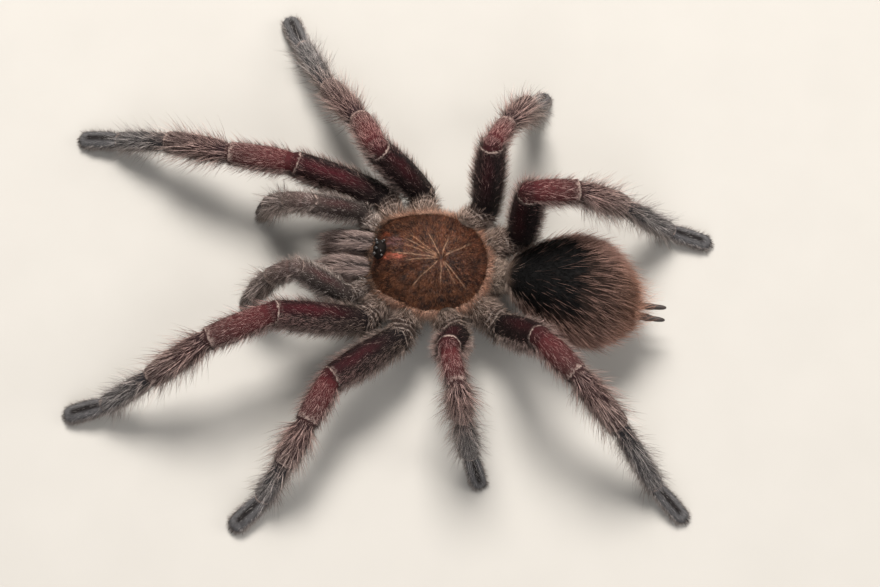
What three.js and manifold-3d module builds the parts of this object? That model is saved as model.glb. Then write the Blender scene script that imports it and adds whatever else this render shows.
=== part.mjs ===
// A still, life-size model of a tarantula: a big, furry, ground-living spider, standing with its legs spread.
// Units are millimetres. The head faces -Y, the animal's left is +X and up is +Z.
// Every solid reaches out to the edge of the dense coat. Hairs themselves are not modelled here.

import * as THREE from 'three';
import { mergeVertices } from 'three/addons/utils/BufferGeometryUtils.js';
import Module from 'manifold-3d';

const wasm = await Module();
wasm.setup();

// ---------- Driving dimensions ----------

const GAP = 0.3; // clear space left between two pieces that touch
const HALF_GAP = GAP / 2;
const LIMB_SIDES = 10; // corners of a limb's cross-section

const CARAPACE_LENGTH = 26;
const CARAPACE_WIDTH = 23.4;
const CARAPACE_BASE_Z = 12.7; // underside of the back shield
const CARAPACE_RIM = 0.9; // thickness of its edge
const CARAPACE_RISE = 4.4; // height of the dome above the rim
const HEAD_RISE = 1.3; // how much the head region stands above the dome

const EYE_MOUND_FORWARD = 10.9; // centre of the eye mound, ahead of the carapace's centre
const EYE_MOUND = { length: 3.1, width: 4.3, base: 15.9, top: 19.6 };

const CORE = { forward: 0.4, length: 19, width: 10.4, bottom: 6.0, top: 12.4 }; // breast plate and body core

const PEDICEL = { width: 8.4, height: 4.6, z: 10.4, front: -9.2, rear: -17.2 }; // the waist, filled out by its fuzz

const ABDOMEN = { front: -15.8, length: 32.2, width: 28, height: 19.6, z: 13.2, swing: 2.2 };

const CHELICERA = { lateral: 2.95, width: 5.5, height: 8.0, root: 10.2, tip: 23.4 };
const FANG = { forward: 18.4, z: 8.2, radius: 4.4, start: -15, end: -130, root: 2.0, tip: 0.6 }; // an arc

const HIP_Z = 10.5; // height of the line on which the limbs leave the body
const SOLE_PRESS = 0.4; // how far the floor presses a sole flat

const LEFT = 1;
const RIGHT = -1;
const SIDE_NAME = { [LEFT]: 'left', [RIGHT]: 'right' };

// Lengths run coxa, femur, patella, tibia, metatarsus, tarsus. Girths are widths at mid length.
const LIMB_BUILDS = {
  palp: { hip: [9.0, 3.4], lengths: [10, 15, 8.5, 9.5, 8], girths: [4.6, 5.4, 5.0, 5.0, 4.8] },
  leg_1: { hip: [6.0, 4.5], lengths: [12, 21.5, 14.5, 16, 14.5, 9.5], girths: [6.4, 7.2, 6.2, 6.0, 5.2, 5.0] },
  leg_2: { hip: [2.0, 5.2], lengths: [12.7, 16.6, 12.1, 14.3, 15.2, 9.5], girths: [6.6, 7.2, 6.2, 6.0, 5.2, 5.0] },
  leg_3: { hip: [-2.0, 5.2], lengths: [12.2, 17, 8.2, 11, 12.6, 8.3], girths: [6.8, 6.9, 5.3, 5.5, 5.0, 4.4] },
  leg_4: { hip: [-6.0, 4.2], lengths: [13.6, 19.5, 10.5, 15.5, 18.5, 9.5], girths: [7.0, 7.1, 6.2, 6.0, 5.0, 4.6] },
};

// Yaw is counted from straight ahead out to the limb's own side, pitch upwards from level, both in degrees.
// The last pitch is left out: it is whatever sets the foot on the floor. The second left leg is a little shorter
// in its far half than the second right one, so it has its own lengths.
const LIMB_POSES = [
  { kind: 'palp', side: RIGHT, size: 1, yaw: [42, -17, 21, 16, 13], pitch: [5, 42, -45, -56] },
  { kind: 'palp', side: LEFT, size: 1, yaw: [38, -6, 7, 21, 26], pitch: [5, 45, -46, -62] },
  { kind: 'leg_1', side: RIGHT, size: 1, yaw: [59, 7, 2, 11, 8, -1], pitch: [-2, 18, -2, -19, -32] },
  { kind: 'leg_1', side: LEFT, size: 1, yaw: [57, 14, 31, 34, 26, 18], pitch: [2, 29, -2, -29, -39] },
  { kind: 'leg_2', side: RIGHT, size: 1, yaw: [79, 20, 58, 47, 55, 59], pitch: [-8, 49, -29, -24, -22] },
  {
    kind: 'leg_2', side: LEFT, size: 1, lengths: [12.1, 18, 10.7, 10.3, 10.3, 8.9],
    yaw: [80, 44, 71, 67, 59, 51], pitch: [2, 11, -2, -21, -45],
  },
  { kind: 'leg_3', side: RIGHT, size: 1, yaw: [132, 89, 110, 113, 107, 109], pitch: [10, 57, -24, -35, -73] },
  { kind: 'leg_3', side: LEFT, size: 1, yaw: [120, 85, 111, 115, 118, 121], pitch: [8, 63, 3, -66, -67] },
  { kind: 'leg_4', side: RIGHT, size: 1, yaw: [157, 107, 167, 163, 173, 187], pitch: [2, 81, -8, -48, -52] },
  { kind: 'leg_4', side: LEFT, size: 1, yaw: [150, 140, 142, 146, 140, 141], pitch: [-3, 56, 0, -37, -46] },
];

// How a segment's width changes along it, as parts of its girth, and its height against its width.
const SEGMENT_SHAPES = {
  coxa: { start: 0.72, middle: 1.0, end: 1.06, tall: 1.04 },
  femur: { start: 0.86, middle: 1.02, end: 0.84, tall: 1.08 },
  patella: { start: 0.9, middle: 1.03, end: 0.92, tall: 1.02 },
  tibia: { start: 0.94, middle: 1.04, end: 0.88, tall: 1.0 },
  metatarsus: { start: 0.98, middle: 1.0, end: 0.9, tall: 0.96 },
  tarsus: { start: 0.92, middle: 1.02, end: 0.94, tall: 0.78 },
};
const FOOT_END = [[0.86, 1], [0.96, 0.84], [1, 0.5]]; // the last rings: place along the foot, part of its end size
const LEG_SEGMENTS = ['coxa', 'femur', 'patella', 'tibia', 'metatarsus', 'tarsus'];
const PALP_SEGMENTS = ['coxa', 'femur', 'patella', 'tibia', 'tarsus'];

// Which segments make one piece, by their first and last.
const LEG_PIECES = { coxa: [0, 0], femur: [1, 1], shin: [2, 3], foot: [4, 5] };
const PALP_PIECES = { coxa: [0, 0], femur: [1, 1], shin: [2, 4] };

// ---------- Materials ----------

function material(color, roughness) {
  return new THREE.MeshStandardMaterial({ color, roughness, metalness: 0 });
}

const FINISHES = {
  carapace: () => material('#6b3222', 0.7),
  grey_fuzz: () => material('#77706b', 0.9),
  leg_fur: () => material('#5f2f33', 0.85),
  foot_fur: () => material('#5b5a5e', 0.9),
  abdomen_fur: () => material('#211719', 0.85),
  black_horn: () => material('#0d0b0b', 0.2),
};

// ---------- Vectors and closed meshes ----------

/** The point so far forward of the carapace's centre, so far out to one side, and so high. */
function bodyPoint(forward, lateral, z) {
  return new THREE.Vector3(lateral, -forward, z);
}

function heading(side, yaw, pitch) {
  const turn = THREE.MathUtils.degToRad(yaw);
  const climb = THREE.MathUtils.degToRad(pitch);
  const level = Math.cos(climb);
  return new THREE.Vector3(side * level * Math.sin(turn), -level * Math.cos(turn), Math.sin(climb));
}

function signedVolume(points, faces) {
  let volume = 0;
  for (let f = 0; f < faces.length; f += 3) {
    const [a, b, c] = [points[faces[f]], points[faces[f + 1]], points[faces[f + 2]]];
    volume += a.dot(new THREE.Vector3().crossVectors(b, c)) / 6;
  }
  return volume;
}

/** A closed geometry from shared points and triangles, with its faces turned outwards. */
function closedGeometry(points, faces) {
  const outward = signedVolume(points, faces) > 0 ? faces : [...faces].reverse();
  const geometry = new THREE.BufferGeometry();
  geometry.setAttribute('position', new THREE.Float32BufferAttribute(points.flatMap((p) => p.toArray()), 3));
  geometry.setIndex(outward);
  return geometry;
}

/** A closed skin over a row of rings, each with the same number of points, with a fan over each end. */
function loft(rings) {
  const sides = rings[0].length;
  const points = rings.flat();
  const faces = [];
  for (let r = 0; r < rings.length - 1; r += 1) {
    for (let s = 0; s < sides; s += 1) {
      const near = r * sides + s;
      const next = r * sides + ((s + 1) % sides);
      faces.push(near, next, next + sides, near, next + sides, near + sides);
    }
  }
  const last = (rings.length - 1) * sides;
  for (const [first, turned] of [[0, true], [last, false]]) {
    const hub = points.length;
    const middle = new THREE.Vector3();
    for (let s = 0; s < sides; s += 1) middle.add(points[first + s]);
    points.push(middle.divideScalar(sides));
    for (let s = 0; s < sides; s += 1) {
      const near = first + s;
      const next = first + ((s + 1) % sides);
      faces.push(...(turned ? [next, near, hub] : [near, next, hub]));
    }
  }
  return closedGeometry(points, faces);
}

/** An oval ring of points about a centre, square to a direction. */
function ovalRing(centre, across, upward, width, height, sides) {
  const ring = [];
  for (let s = 0; s < sides; s += 1) {
    const angle = (2 * Math.PI * (s + 0.5)) / sides;
    ring.push(centre.clone()
      .addScaledVector(across, (width / 2) * Math.cos(angle))
      .addScaledVector(upward, (height / 2) * Math.sin(angle)));
  }
  return ring;
}

/** A ring that faces along a direction, with its width kept level. */
function levelRing(centre, direction, width, height, sides) {
  const across = new THREE.Vector3(-direction.y, direction.x, 0).normalize();
  const upward = new THREE.Vector3().crossVectors(direction, across).normalize();
  return ovalRing(centre, across, upward, width, height, sides);
}

// ---------- Joining and cutting ----------

function toSolid(geometry) {
  const bare = geometry.clone();
  bare.deleteAttribute('normal');
  bare.deleteAttribute('uv');
  const merged = mergeVertices(bare, 1e-5);
  return new wasm.Manifold(new wasm.Mesh({
    numProp: 3,
    vertProperties: new Float32Array(merged.attributes.position.array),
    triVerts: new Uint32Array(merged.index.array),
  }));
}

function toGeometry(solid) {
  const mesh = solid.getMesh();
  const geometry = new THREE.BufferGeometry();
  geometry.setAttribute('position', new THREE.Float32BufferAttribute(mesh.vertProperties, 3));
  geometry.setIndex(Array.from(mesh.triVerts));
  return geometry;
}

/** Cuts other geometries out of one. Where a cut frees a crumb, only the largest body is kept. */
function cutAway(geometry, cutters) {
  let solid = toSolid(geometry);
  for (const cutter of cutters) solid = solid.subtract(toSolid(cutter));
  const bodies = solid.decompose().sort((a, b) => b.volume() - a.volume());
  return toGeometry(bodies[0]);
}

/** Keeps what lies in front of a plane through a point, on the side that the normal points to. */
function keepInFront(geometry, point, normal) {
  const unit = normal.clone().normalize();
  return toGeometry(toSolid(geometry).trimByPlane(unit.toArray(), unit.dot(point)));
}

// ---------- Limbs ----------

/** Width and height of a segment at a part of its length. */
function segmentSize(kind, girth, along) {
  const { start, middle, end, tall } = SEGMENT_SHAPES[kind];
  const blend = along < 0.5 ? start + (middle - start) * Math.sin(Math.PI * along)
    : end + (middle - end) * Math.sin(Math.PI * along);
  return { width: girth * blend, height: girth * blend * tall };
}

/** The pitch at which a foot of a given length and thickness, hanging from a joint, presses on the floor. */
function landingPitch(fromZ, length, thickness) {
  let [steep, level] = [-1.5, 0];
  const reachDown = (thickness / 2) * Math.cos(Math.PI / LIMB_SIDES);
  for (let round = 0; round < 30; round += 1) {
    const pitch = (steep + level) / 2;
    const lowest = Math.min(...FOOT_END.map(([along, shrink]) => (
      fromZ + along * length * Math.sin(pitch) - shrink * reachDown * Math.cos(pitch)
    )));
    if (lowest < -SOLE_PRESS) steep = pitch;
    else level = pitch;
  }
  return THREE.MathUtils.radToDeg(level);
}

/** The limb's joints and headings, from the hip to the foot's tip. */
function limbFrame(pose) {
  const build = LIMB_BUILDS[pose.kind];
  const lengths = (pose.lengths ?? build.lengths).map((length) => length * pose.size);
  const joints = [bodyPoint(build.hip[0], pose.side * build.hip[1], HIP_Z)];
  const headings = [];
  lengths.forEach((length, i) => {
    const from = joints[i];
    const girth = build.girths[i] * pose.size;
    const isFoot = i === pose.pitch.length;
    const pitch = isFoot ? landingPitch(from.z, length, segmentSize('tarsus', girth, 1).height) : pose.pitch[i];
    const direction = heading(pose.side, pose.yaw[i], pitch);
    headings.push(direction);
    joints.push(from.clone().addScaledVector(direction, length));
  });
  return { lengths, joints, headings };
}

function limb(pose) {
  const isPalp = pose.kind === 'palp';
  const kinds = isPalp ? PALP_SEGMENTS : LEG_SEGMENTS;
  const girths = LIMB_BUILDS[pose.kind].girths.map((girth) => girth * pose.size);
  const { lengths, joints, headings } = limbFrame(pose);
  const lastSegment = kinds.length - 1;

  const ringAt = (segment, along, centre, direction, shrink = 1) => {
    const size = segmentSize(kinds[segment], girths[segment], along);
    return levelRing(centre, direction, size.width * shrink, size.height * shrink, LIMB_SIDES);
  };

  /** How far before and after a joint its bend starts and ends. */
  const bendReach = (joint) => {
    if (joint === 0 || joint > lastSegment) return 0;
    const turn = headings[joint - 1].angleTo(headings[joint]) / 2;
    const size = segmentSize(kinds[joint], girths[joint], 0);
    const reach = (0.55 * size.height * Math.tan(turn)) / Math.cos(turn);
    return Math.min(Math.max(reach, 0.8), 0.42 * Math.min(lengths[joint - 1], lengths[joint]));
  };

  /** The ring in the middle of a bend, moved a little off the joint to one piece's side. */
  const bendRing = (joint, shift) => {
    const reach = bendReach(joint);
    const [before, after] = [headings[joint - 1], headings[joint]];
    const direction = before.clone().add(after).normalize();
    const centre = joints[joint].clone()
      .addScaledVector(before, -reach / 4)
      .addScaledVector(after, reach / 4)
      .addScaledVector(direction, shift);
    const [a, b] = [segmentSize(kinds[joint - 1], girths[joint - 1], 1), segmentSize(kinds[joint], girths[joint], 0)];
    return levelRing(centre, direction, (a.width + b.width) / 2, (a.height + b.height) / 2, LIMB_SIDES);
  };

  const piece = (first, last) => {
    const rings = [];
    if (first === 0) rings.push(ringAt(0, 0, joints[0], headings[0]));
    else rings.push(bendRing(first, HALF_GAP));
    for (let i = first; i <= last; i += 1) {
      const start = bendReach(i) / lengths[i];
      const isTip = i === lastSegment;
      const end = isTip ? FOOT_END[0][0] : 1 - bendReach(i + 1) / lengths[i];
      for (const part of i === 0 ? [0.5, 1] : [0, 0.5, 1]) {
        const along = start + (end - start) * part;
        const centre = joints[i].clone().addScaledVector(headings[i], along * lengths[i]);
        rings.push(ringAt(i, along, centre, headings[i]));
      }
      if (isTip) {
        for (const [along, shrink] of FOOT_END.slice(1)) {
          const centre = joints[i].clone().addScaledVector(headings[i], along * lengths[i]);
          rings.push(ringAt(i, 1, centre, headings[i], shrink));
        }
      } else if (i < last) {
        rings.push(bendRing(i + 1, 0));
      }
    }
    if (last < lastSegment) rings.push(bendRing(last + 1, -HALF_GAP));
    for (const point of rings.flat()) point.z = Math.max(point.z, 0); // the sole, pressed flat on the floor
    return loft(rings);
  };

  const pieces = Object.entries(isPalp ? PALP_PIECES : LEG_PIECES);
  return {
    pose,
    hip: joints[0],
    knee: joints[1],
    pieces: Object.fromEntries(pieces.map(([name, [first, last]]) => [name, piece(first, last)])),
  };
}

// ---------- Front body ----------

/** Half the carapace's width at a distance ahead of its centre: an oval, cut off blunt in front. */
function carapaceHalfWidth(forward) {
  const along = Math.min(Math.abs(forward) / (CARAPACE_LENGTH / 2), 1);
  const power = forward > 0 ? 10 : 2.3;
  const narrowing = forward > 0 ? 1 - 0.32 * along ** 1.4 : 1;
  return (CARAPACE_WIDTH / 2) * narrowing * (1 - along ** power) ** (1 / 2.1);
}

/** The edge of the carapace in a direction given by an angle from straight ahead. */
function carapaceEdge(angle) {
  const forward = (CARAPACE_LENGTH / 2) * Math.cos(angle);
  return { forward, lateral: Math.sign(Math.sin(angle)) * carapaceHalfWidth(forward) };
}

function carapaceTopZ(forward, lateral, outward) {
  const fullness = forward > 0 ? 2.6 + 2.2 * (forward / (CARAPACE_LENGTH / 2)) : 2.6;
  const dome = CARAPACE_RISE * (1 - outward ** fullness);
  const head = HEAD_RISE * Math.exp(-(((forward - 8) / 5) ** 2) - (lateral / 5.5) ** 2) * (1 - outward ** 8);
  const pit = 1.0 * Math.exp(-(((forward + 3) / 1.6) ** 2) - (lateral / 1.2) ** 2);
  return CARAPACE_BASE_Z + CARAPACE_RIM + dome + head - pit;
}

/** The back shield, grown outwards by a clearance where it is used as a cutter. */
function carapaceSolid(clearance = 0) {
  const sectors = 28;
  const outwards = [1, 0.95, 0.84, 0.68, 0.5, 0.32, 0.14];
  const rim = [];
  const rings = outwards.map(() => []);
  for (let s = 0; s < sectors; s += 1) {
    const edge = carapaceEdge((2 * Math.PI * (s + 0.5)) / sectors);
    const grow = 1 + clearance / Math.hypot(edge.forward, edge.lateral);
    rim.push(bodyPoint(edge.forward * grow, edge.lateral * grow, CARAPACE_BASE_Z - clearance));
    outwards.forEach((outward, r) => {
      const [forward, lateral] = [edge.forward * outward, edge.lateral * outward];
      const z = carapaceTopZ(forward, lateral, outward) + clearance;
      rings[r].push(bodyPoint(forward * grow, lateral * grow, z));
    });
  }
  return loft([rim, ...rings]);
}

/** A low oval mound that rises from a flat base, for the eyes to sit in. */
function eyeMound(clearance = 0) {
  const rings = [];
  const rise = EYE_MOUND.top - EYE_MOUND.base + clearance;
  for (const up of [-clearance / rise, 0.45, 0.8, 0.95]) {
    const spread = Math.sqrt(Math.max(1 - Math.max(up, 0) ** 3, 0));
    rings.push(ovalRing(
      bodyPoint(EYE_MOUND_FORWARD, 0, EYE_MOUND.base + rise * up),
      new THREE.Vector3(1, 0, 0),
      new THREE.Vector3(0, 1, 0),
      (EYE_MOUND.width + 2 * clearance) * spread,
      (EYE_MOUND.length + 2 * clearance) * spread,
      12,
    ));
  }
  return loft(rings);
}

// Each pair of eyes: how far ahead of the mound's centre, how far out, how high on the mound, and the diameter.
const EYE_PAIRS = {
  eye_front_middle: { forward: 0.62, lateral: 0.62, z: 19.25, diameter: 0.8 },
  eye_front_side: { forward: 0.95, lateral: 1.52, z: 18.35, diameter: 0.86 },
  eye_rear_middle: { forward: -0.42, lateral: 1.05, z: 19.1, diameter: 0.6 },
  eye_rear_side: { forward: -0.66, lateral: 1.7, z: 18.3, diameter: 0.7 },
};
const EYE_GAP = 0.08; // the eyes are too small for the full gap

function eyeBall(pair, side, clearance = 0) {
  const ball = new THREE.SphereGeometry(pair.diameter / 2 + clearance, 8, 5);
  const place = bodyPoint(EYE_MOUND_FORWARD + pair.forward, side * pair.lateral, pair.z);
  return ball.translate(place.x, place.y, place.z);
}

function eyes() {
  const found = [];
  for (const [name, pair] of Object.entries(EYE_PAIRS)) {
    for (const side of [RIGHT, LEFT]) {
      found.push({
        name: `${name}_${SIDE_NAME[side]}`,
        geometry: eyeBall(pair, side),
        socket: eyeBall(pair, side, EYE_GAP),
      });
    }
  }
  return found;
}

/** The breast plate and the core of the front body, which the hips meet. */
function bodyCore(clearance = 0) {
  const height = CORE.top - CORE.bottom;
  const rings = [[0, 0.62], [0.06, 0.86], [0.2, 0.98], [0.5, 1], [1, 0.96]].map(([up, spread]) => {
    const grow = up === 0 ? -clearance : up === 1 ? clearance : 0;
    return ovalRing(
      bodyPoint(CORE.forward, 0, CORE.bottom + height * up + grow),
      new THREE.Vector3(1, 0, 0),
      new THREE.Vector3(0, 1, 0),
      CORE.width * spread + 2 * clearance,
      CORE.length * spread + 2 * clearance,
      16,
    );
  });
  return loft(rings);
}

function pedicel(clearance = 0) {
  const ahead = bodyPoint(1, 0, 0);
  const width = PEDICEL.width + 2 * clearance;
  const height = PEDICEL.height + 2 * clearance;
  const rings = [PEDICEL.front + clearance, PEDICEL.rear - clearance].map((forward) => (
    levelRing(bodyPoint(forward, 0, PEDICEL.z), ahead, width, height, LIMB_SIDES)
  ));
  return loft(rings);
}

/** The jaw's base, from under the carapace's front edge forward and down to the fang's hinge. */
function chelicera(side, clearance = 0) {
  const steps = 6;
  const rings = [];
  const run = CHELICERA.tip - CHELICERA.root;
  for (let k = 0; k <= steps; k += 1) {
    const along = k / steps;
    const arch = Math.sin(Math.PI * Math.min(along * 0.78 + 0.16, 1));
    const size = 0.34 + 0.66 * arch ** 0.55;
    const centre = bodyPoint(CHELICERA.root + run * along, side * CHELICERA.lateral, 10.7 - 2.4 * along ** 3);
    const direction = bodyPoint(1, 0, -0.45 * along ** 2).normalize();
    const width = CHELICERA.width * Math.min(size * 1.1, 1) + 2 * clearance;
    rings.push(levelRing(centre, direction, width, CHELICERA.height * size + 2 * clearance, 12));
  }
  return loft(rings);
}

/** The folded fang, a horn that curves down from the jaw's tip and back under it. */
function fang(side) {
  const steps = 6;
  const rings = [];
  for (let k = 0; k <= steps; k += 1) {
    const along = k / steps;
    const angle = THREE.MathUtils.degToRad(FANG.start + (FANG.end - FANG.start) * along);
    const centre = bodyPoint(
      FANG.forward + FANG.radius * Math.cos(angle),
      side * (CHELICERA.lateral - 0.6 * along),
      FANG.z + FANG.radius * Math.sin(angle),
    );
    const direction = bodyPoint(Math.sin(angle), 0, -Math.cos(angle));
    const width = FANG.root + (FANG.tip - FANG.root) * along;
    rings.push(levelRing(centre, direction, width, width, 8));
  }
  return loft(rings);
}

// ---------- Rear body ----------

/** The abdomen: an egg, fullest behind its middle, swung a little to the left. */
function abdomen() {
  const steps = 11;
  const rings = [];
  for (let k = 0; k <= steps; k += 1) {
    const angle = Math.PI * (0.04 + (0.93 * k) / steps);
    const along = (1 - Math.cos(angle)) / 2;
    const fullness = Math.sin(Math.PI * along ** 1.5) ** 0.38;
    const centre = bodyPoint(
      ABDOMEN.front - ABDOMEN.length * along,
      ABDOMEN.swing * along ** 1.3,
      ABDOMEN.z - 1.6 * along ** 2,
    );
    rings.push(levelRing(
      centre,
      bodyPoint(-1, 0.09, 0).normalize(),
      ABDOMEN.width * fullness,
      ABDOMEN.height * fullness,
      18,
    ));
  }
  return loft(rings);
}

/** A spinneret of jointed look, tapering to its tip. */
function spinneret({ lateral, z, length, width }, clearance = 0) {
  const outwards = Math.sign(lateral);
  const root = bodyPoint(-44.0, ABDOMEN.swing + 0.6 + lateral, z);
  const direction = bodyPoint(-1, 0.03 * outwards, 0.1).normalize();
  const rings = [[-0.02, 1], [0.3, 1], [0.36, 0.86], [0.62, 0.84], [0.68, 0.66], [0.94, 0.56], [1, 0.3]];
  return loft(rings.map(([along, thick]) => levelRing(
    root.clone().addScaledVector(direction, along * length),
    direction,
    width * thick + 2 * clearance,
    width * thick + 2 * clearance,
    8,
  )));
}

const LONG_SPINNERET = { lateral: 1.2, z: 8.7, length: 7.8, width: 1.8 };
const SHORT_SPINNERET = { lateral: 0, z: 6.6, length: 4.6, width: 1.4 };

// ---------- Assembly ----------

const tarantula = new THREE.Group();

/** Adds a piece whose own origin is a given point of the body. */
function addPiece(name, geometry, finish, origin) {
  const settled = geometry.clone().translate(-origin.x, -origin.y, -origin.z);
  const mesh = new THREE.Mesh(settled, FINISHES[finish]());
  mesh.name = name;
  mesh.position.copy(origin);
  tarantula.add(mesh);
}

function limbName({ kind, side }) {
  return `${kind}_${SIDE_NAME[side]}`;
}

/** Trims two hips that stand side by side, along the upright plane that halves the angle between them. */
function partHips(near, far) {
  const inner = near.hip.clone().add(far.hip).multiplyScalar(0.5);
  const outer = near.knee.clone().add(far.knee).multiplyScalar(0.5);
  const along = outer.sub(inner).setZ(0).normalize();
  const normal = new THREE.Vector3(-along.y, along.x, 0);
  if (normal.dot(far.hip.clone().sub(near.hip)) < 0) normal.negate();
  const back = normal.clone().negate();
  near.pieces.coxa = keepInFront(near.pieces.coxa, inner.clone().addScaledVector(back, HALF_GAP), back);
  far.pieces.coxa = keepInFront(far.pieces.coxa, inner.clone().addScaledVector(normal, HALF_GAP), normal);
}

const limbs = LIMB_POSES.map(limb);

for (const side of [RIGHT, LEFT]) {
  const row = limbs.filter((each) => each.pose.side === side);
  for (let i = 0; i < row.length - 1; i += 1) partHips(row[i], row[i + 1]);
}

const jawCutters = [RIGHT, LEFT].map((side) => chelicera(side, GAP));
const bodyCutters = [carapaceSolid(GAP), bodyCore(GAP), pedicel(GAP)];

for (const each of limbs) {
  const cutters = each.pose.kind === 'palp' ? [...bodyCutters, ...jawCutters] : bodyCutters;
  each.pieces.coxa = cutAway(each.pieces.coxa, cutters);
  for (const [name, geometry] of Object.entries(each.pieces)) {
    const finish = name === 'coxa' ? 'grey_fuzz' : name === 'foot' ? 'foot_fur' : 'leg_fur';
    addPiece(`${limbName(each.pose)}_${name}`, geometry, finish, each.hip);
  }
}

const middleOfCarapace = bodyPoint(0, 0, CARAPACE_BASE_Z);
const eyeList = eyes();
addPiece('carapace', cutAway(carapaceSolid(), [eyeMound(GAP)]), 'carapace', middleOfCarapace);
addPiece('breast_plate', bodyCore(), 'grey_fuzz', bodyPoint(CORE.forward, 0, CORE.bottom));
const mound = cutAway(eyeMound(), eyeList.map((eye) => eye.socket));
addPiece('eye_mound', mound, 'carapace', bodyPoint(EYE_MOUND_FORWARD, 0, EYE_MOUND.base));
for (const eye of eyeList) {
  addPiece(eye.name, eye.geometry, 'black_horn', bodyPoint(EYE_MOUND_FORWARD, 0, EYE_MOUND.top));
}

for (const side of [RIGHT, LEFT]) {
  const jawRoot = bodyPoint(CHELICERA.root, side * CHELICERA.lateral, HIP_Z);
  const jaw = cutAway(chelicera(side), [carapaceSolid(GAP), bodyCore(GAP)]);
  addPiece(`jaw_${SIDE_NAME[side]}`, jaw, 'grey_fuzz', jawRoot);
  addPiece(`fang_${SIDE_NAME[side]}`, cutAway(fang(side), [chelicera(side, GAP)]), 'black_horn', jawRoot);
}

const waist = bodyPoint(PEDICEL.rear, 0, PEDICEL.z);
const tail = bodyPoint(ABDOMEN.front - ABDOMEN.length, ABDOMEN.swing, ABDOMEN.z);
const longPair = [RIGHT, LEFT].map((side) => ({ ...LONG_SPINNERET, lateral: side * LONG_SPINNERET.lateral }));
const hindCutters = [...longPair, SHORT_SPINNERET].map((each) => spinneret(each, GAP));
addPiece('waist', cutAway(pedicel(), [bodyCore(GAP)]), 'grey_fuzz', waist);
addPiece('abdomen', cutAway(abdomen(), [pedicel(GAP), ...hindCutters]), 'abdomen_fur', waist);
addPiece('spinneret_long_right', spinneret(longPair[0]), 'black_horn', tail);
addPiece('spinneret_long_left', spinneret(longPair[1]), 'black_horn', tail);
addPiece('spinneret_short', spinneret(SHORT_SPINNERET), 'black_horn', tail);

// The model's own origin is the middle of its box, on the floor.
tarantula.updateMatrixWorld(true);
const bounds = new THREE.Box3().setFromObject(tarantula, true);
const centre = bounds.getCenter(new THREE.Vector3());
tarantula.position.set(-centre.x, -centre.y, -bounds.min.z);
tarantula.updateMatrixWorld(true);

export default tarantula;
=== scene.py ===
"""A life-size tarantula: one skin, a velvet back shield, eyes, fangs, claws and a coat of solid hairs."""

import math

import bpy
import numpy as np
from mathutils import Matrix, Vector
from mathutils.bvhtree import BVHTree


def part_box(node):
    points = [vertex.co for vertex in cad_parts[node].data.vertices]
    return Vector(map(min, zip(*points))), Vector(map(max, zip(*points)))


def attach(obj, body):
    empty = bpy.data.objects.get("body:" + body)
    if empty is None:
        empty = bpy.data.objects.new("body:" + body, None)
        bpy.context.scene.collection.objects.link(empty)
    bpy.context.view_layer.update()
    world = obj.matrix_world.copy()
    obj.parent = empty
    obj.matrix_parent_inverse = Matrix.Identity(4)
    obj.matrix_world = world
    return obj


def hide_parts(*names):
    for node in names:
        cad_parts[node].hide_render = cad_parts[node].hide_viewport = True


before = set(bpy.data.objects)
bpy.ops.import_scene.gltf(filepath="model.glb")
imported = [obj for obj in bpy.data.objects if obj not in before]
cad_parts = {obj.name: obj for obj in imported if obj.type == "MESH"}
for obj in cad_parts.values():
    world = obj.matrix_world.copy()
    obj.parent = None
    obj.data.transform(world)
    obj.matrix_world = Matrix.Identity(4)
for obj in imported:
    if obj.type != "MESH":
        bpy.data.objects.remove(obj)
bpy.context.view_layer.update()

MM = 0.001
LEFT, RIGHT = 1, -1
SIDE_NAME = {LEFT: "left", RIGHT: "right"}
rng = np.random.default_rng(11)

shield_low, shield_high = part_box("carapace")
BODY_X = (shield_low.x + shield_high.x) / 2 / MM
BODY_Y = (shield_low.y + shield_high.y) / 2 / MM


def body_point(forward, lateral, z):
    """A place on the body, in mm: ahead of the back shield's middle, to its left, and above the floor."""
    return np.array([BODY_X + lateral, BODY_Y - forward, z])


# ---------- Camera and light ----------

VIEW_AZIMUTH, VIEW_ELEVATION = math.radians(98.5), math.radians(70)
VIEW_DISTANCE = 0.5
FOCAL_LENGTH, SENSOR_WIDTH = 94.24, 36

bpy.ops.object.camera_add()
camera = bpy.context.object
camera.data.lens = FOCAL_LENGTH
camera.data.sensor_width = SENSOR_WIDTH
target = Vector(body_point(-2.85, 4.8, 8)) * MM
back = Vector((
    math.sin(VIEW_AZIMUTH) * math.cos(VIEW_ELEVATION),
    -math.cos(VIEW_AZIMUTH) * math.cos(VIEW_ELEVATION),
    math.sin(VIEW_ELEVATION),
))
camera.location = target + back * VIEW_DISTANCE
camera.rotation_euler = (-back).to_track_quat("-Z", "Y").to_euler()
bpy.context.scene.camera = camera


def softbox(name, place, size, power, tint):
    bpy.ops.object.light_add(type="AREA", location=place)
    light = bpy.context.object
    light.name = name
    light.data.size = size
    light.data.energy = power
    light.data.color = tint
    light.rotation_euler = (target - Vector(place)).to_track_quat("-Z", "Y").to_euler()


softbox("key_light", (-0.62, -0.16, 1.00), 0.50, 25, (1.0, 0.97, 0.93))
softbox("fill_light", (0.95, 0.15, 0.80), 0.90, 8, (0.97, 0.98, 1.0))
softbox("rear_light", (-0.10, 1.10, 0.70), 0.60, 6, (1.0, 0.98, 0.95))

world = bpy.data.worlds.new("studio")
world.use_nodes = True
world.node_tree.nodes["Background"].inputs["Color"].default_value = (0.86, 0.85, 0.84, 1)
world.node_tree.nodes["Background"].inputs["Strength"].default_value = 0.22
bpy.context.scene.world = world
bpy.context.scene.view_settings.view_transform = "Standard"


# ---------- Node building ----------

def paint(red, green, blue):
    """A colour given as 0 to 255 display values, as a linear one."""
    values = np.array([red, green, blue]) / 255
    linear = np.where(values <= 0.04045, values / 12.92, ((values + 0.055) / 1.055) ** 2.4)
    return (*linear.tolist(), 1.0)


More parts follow.
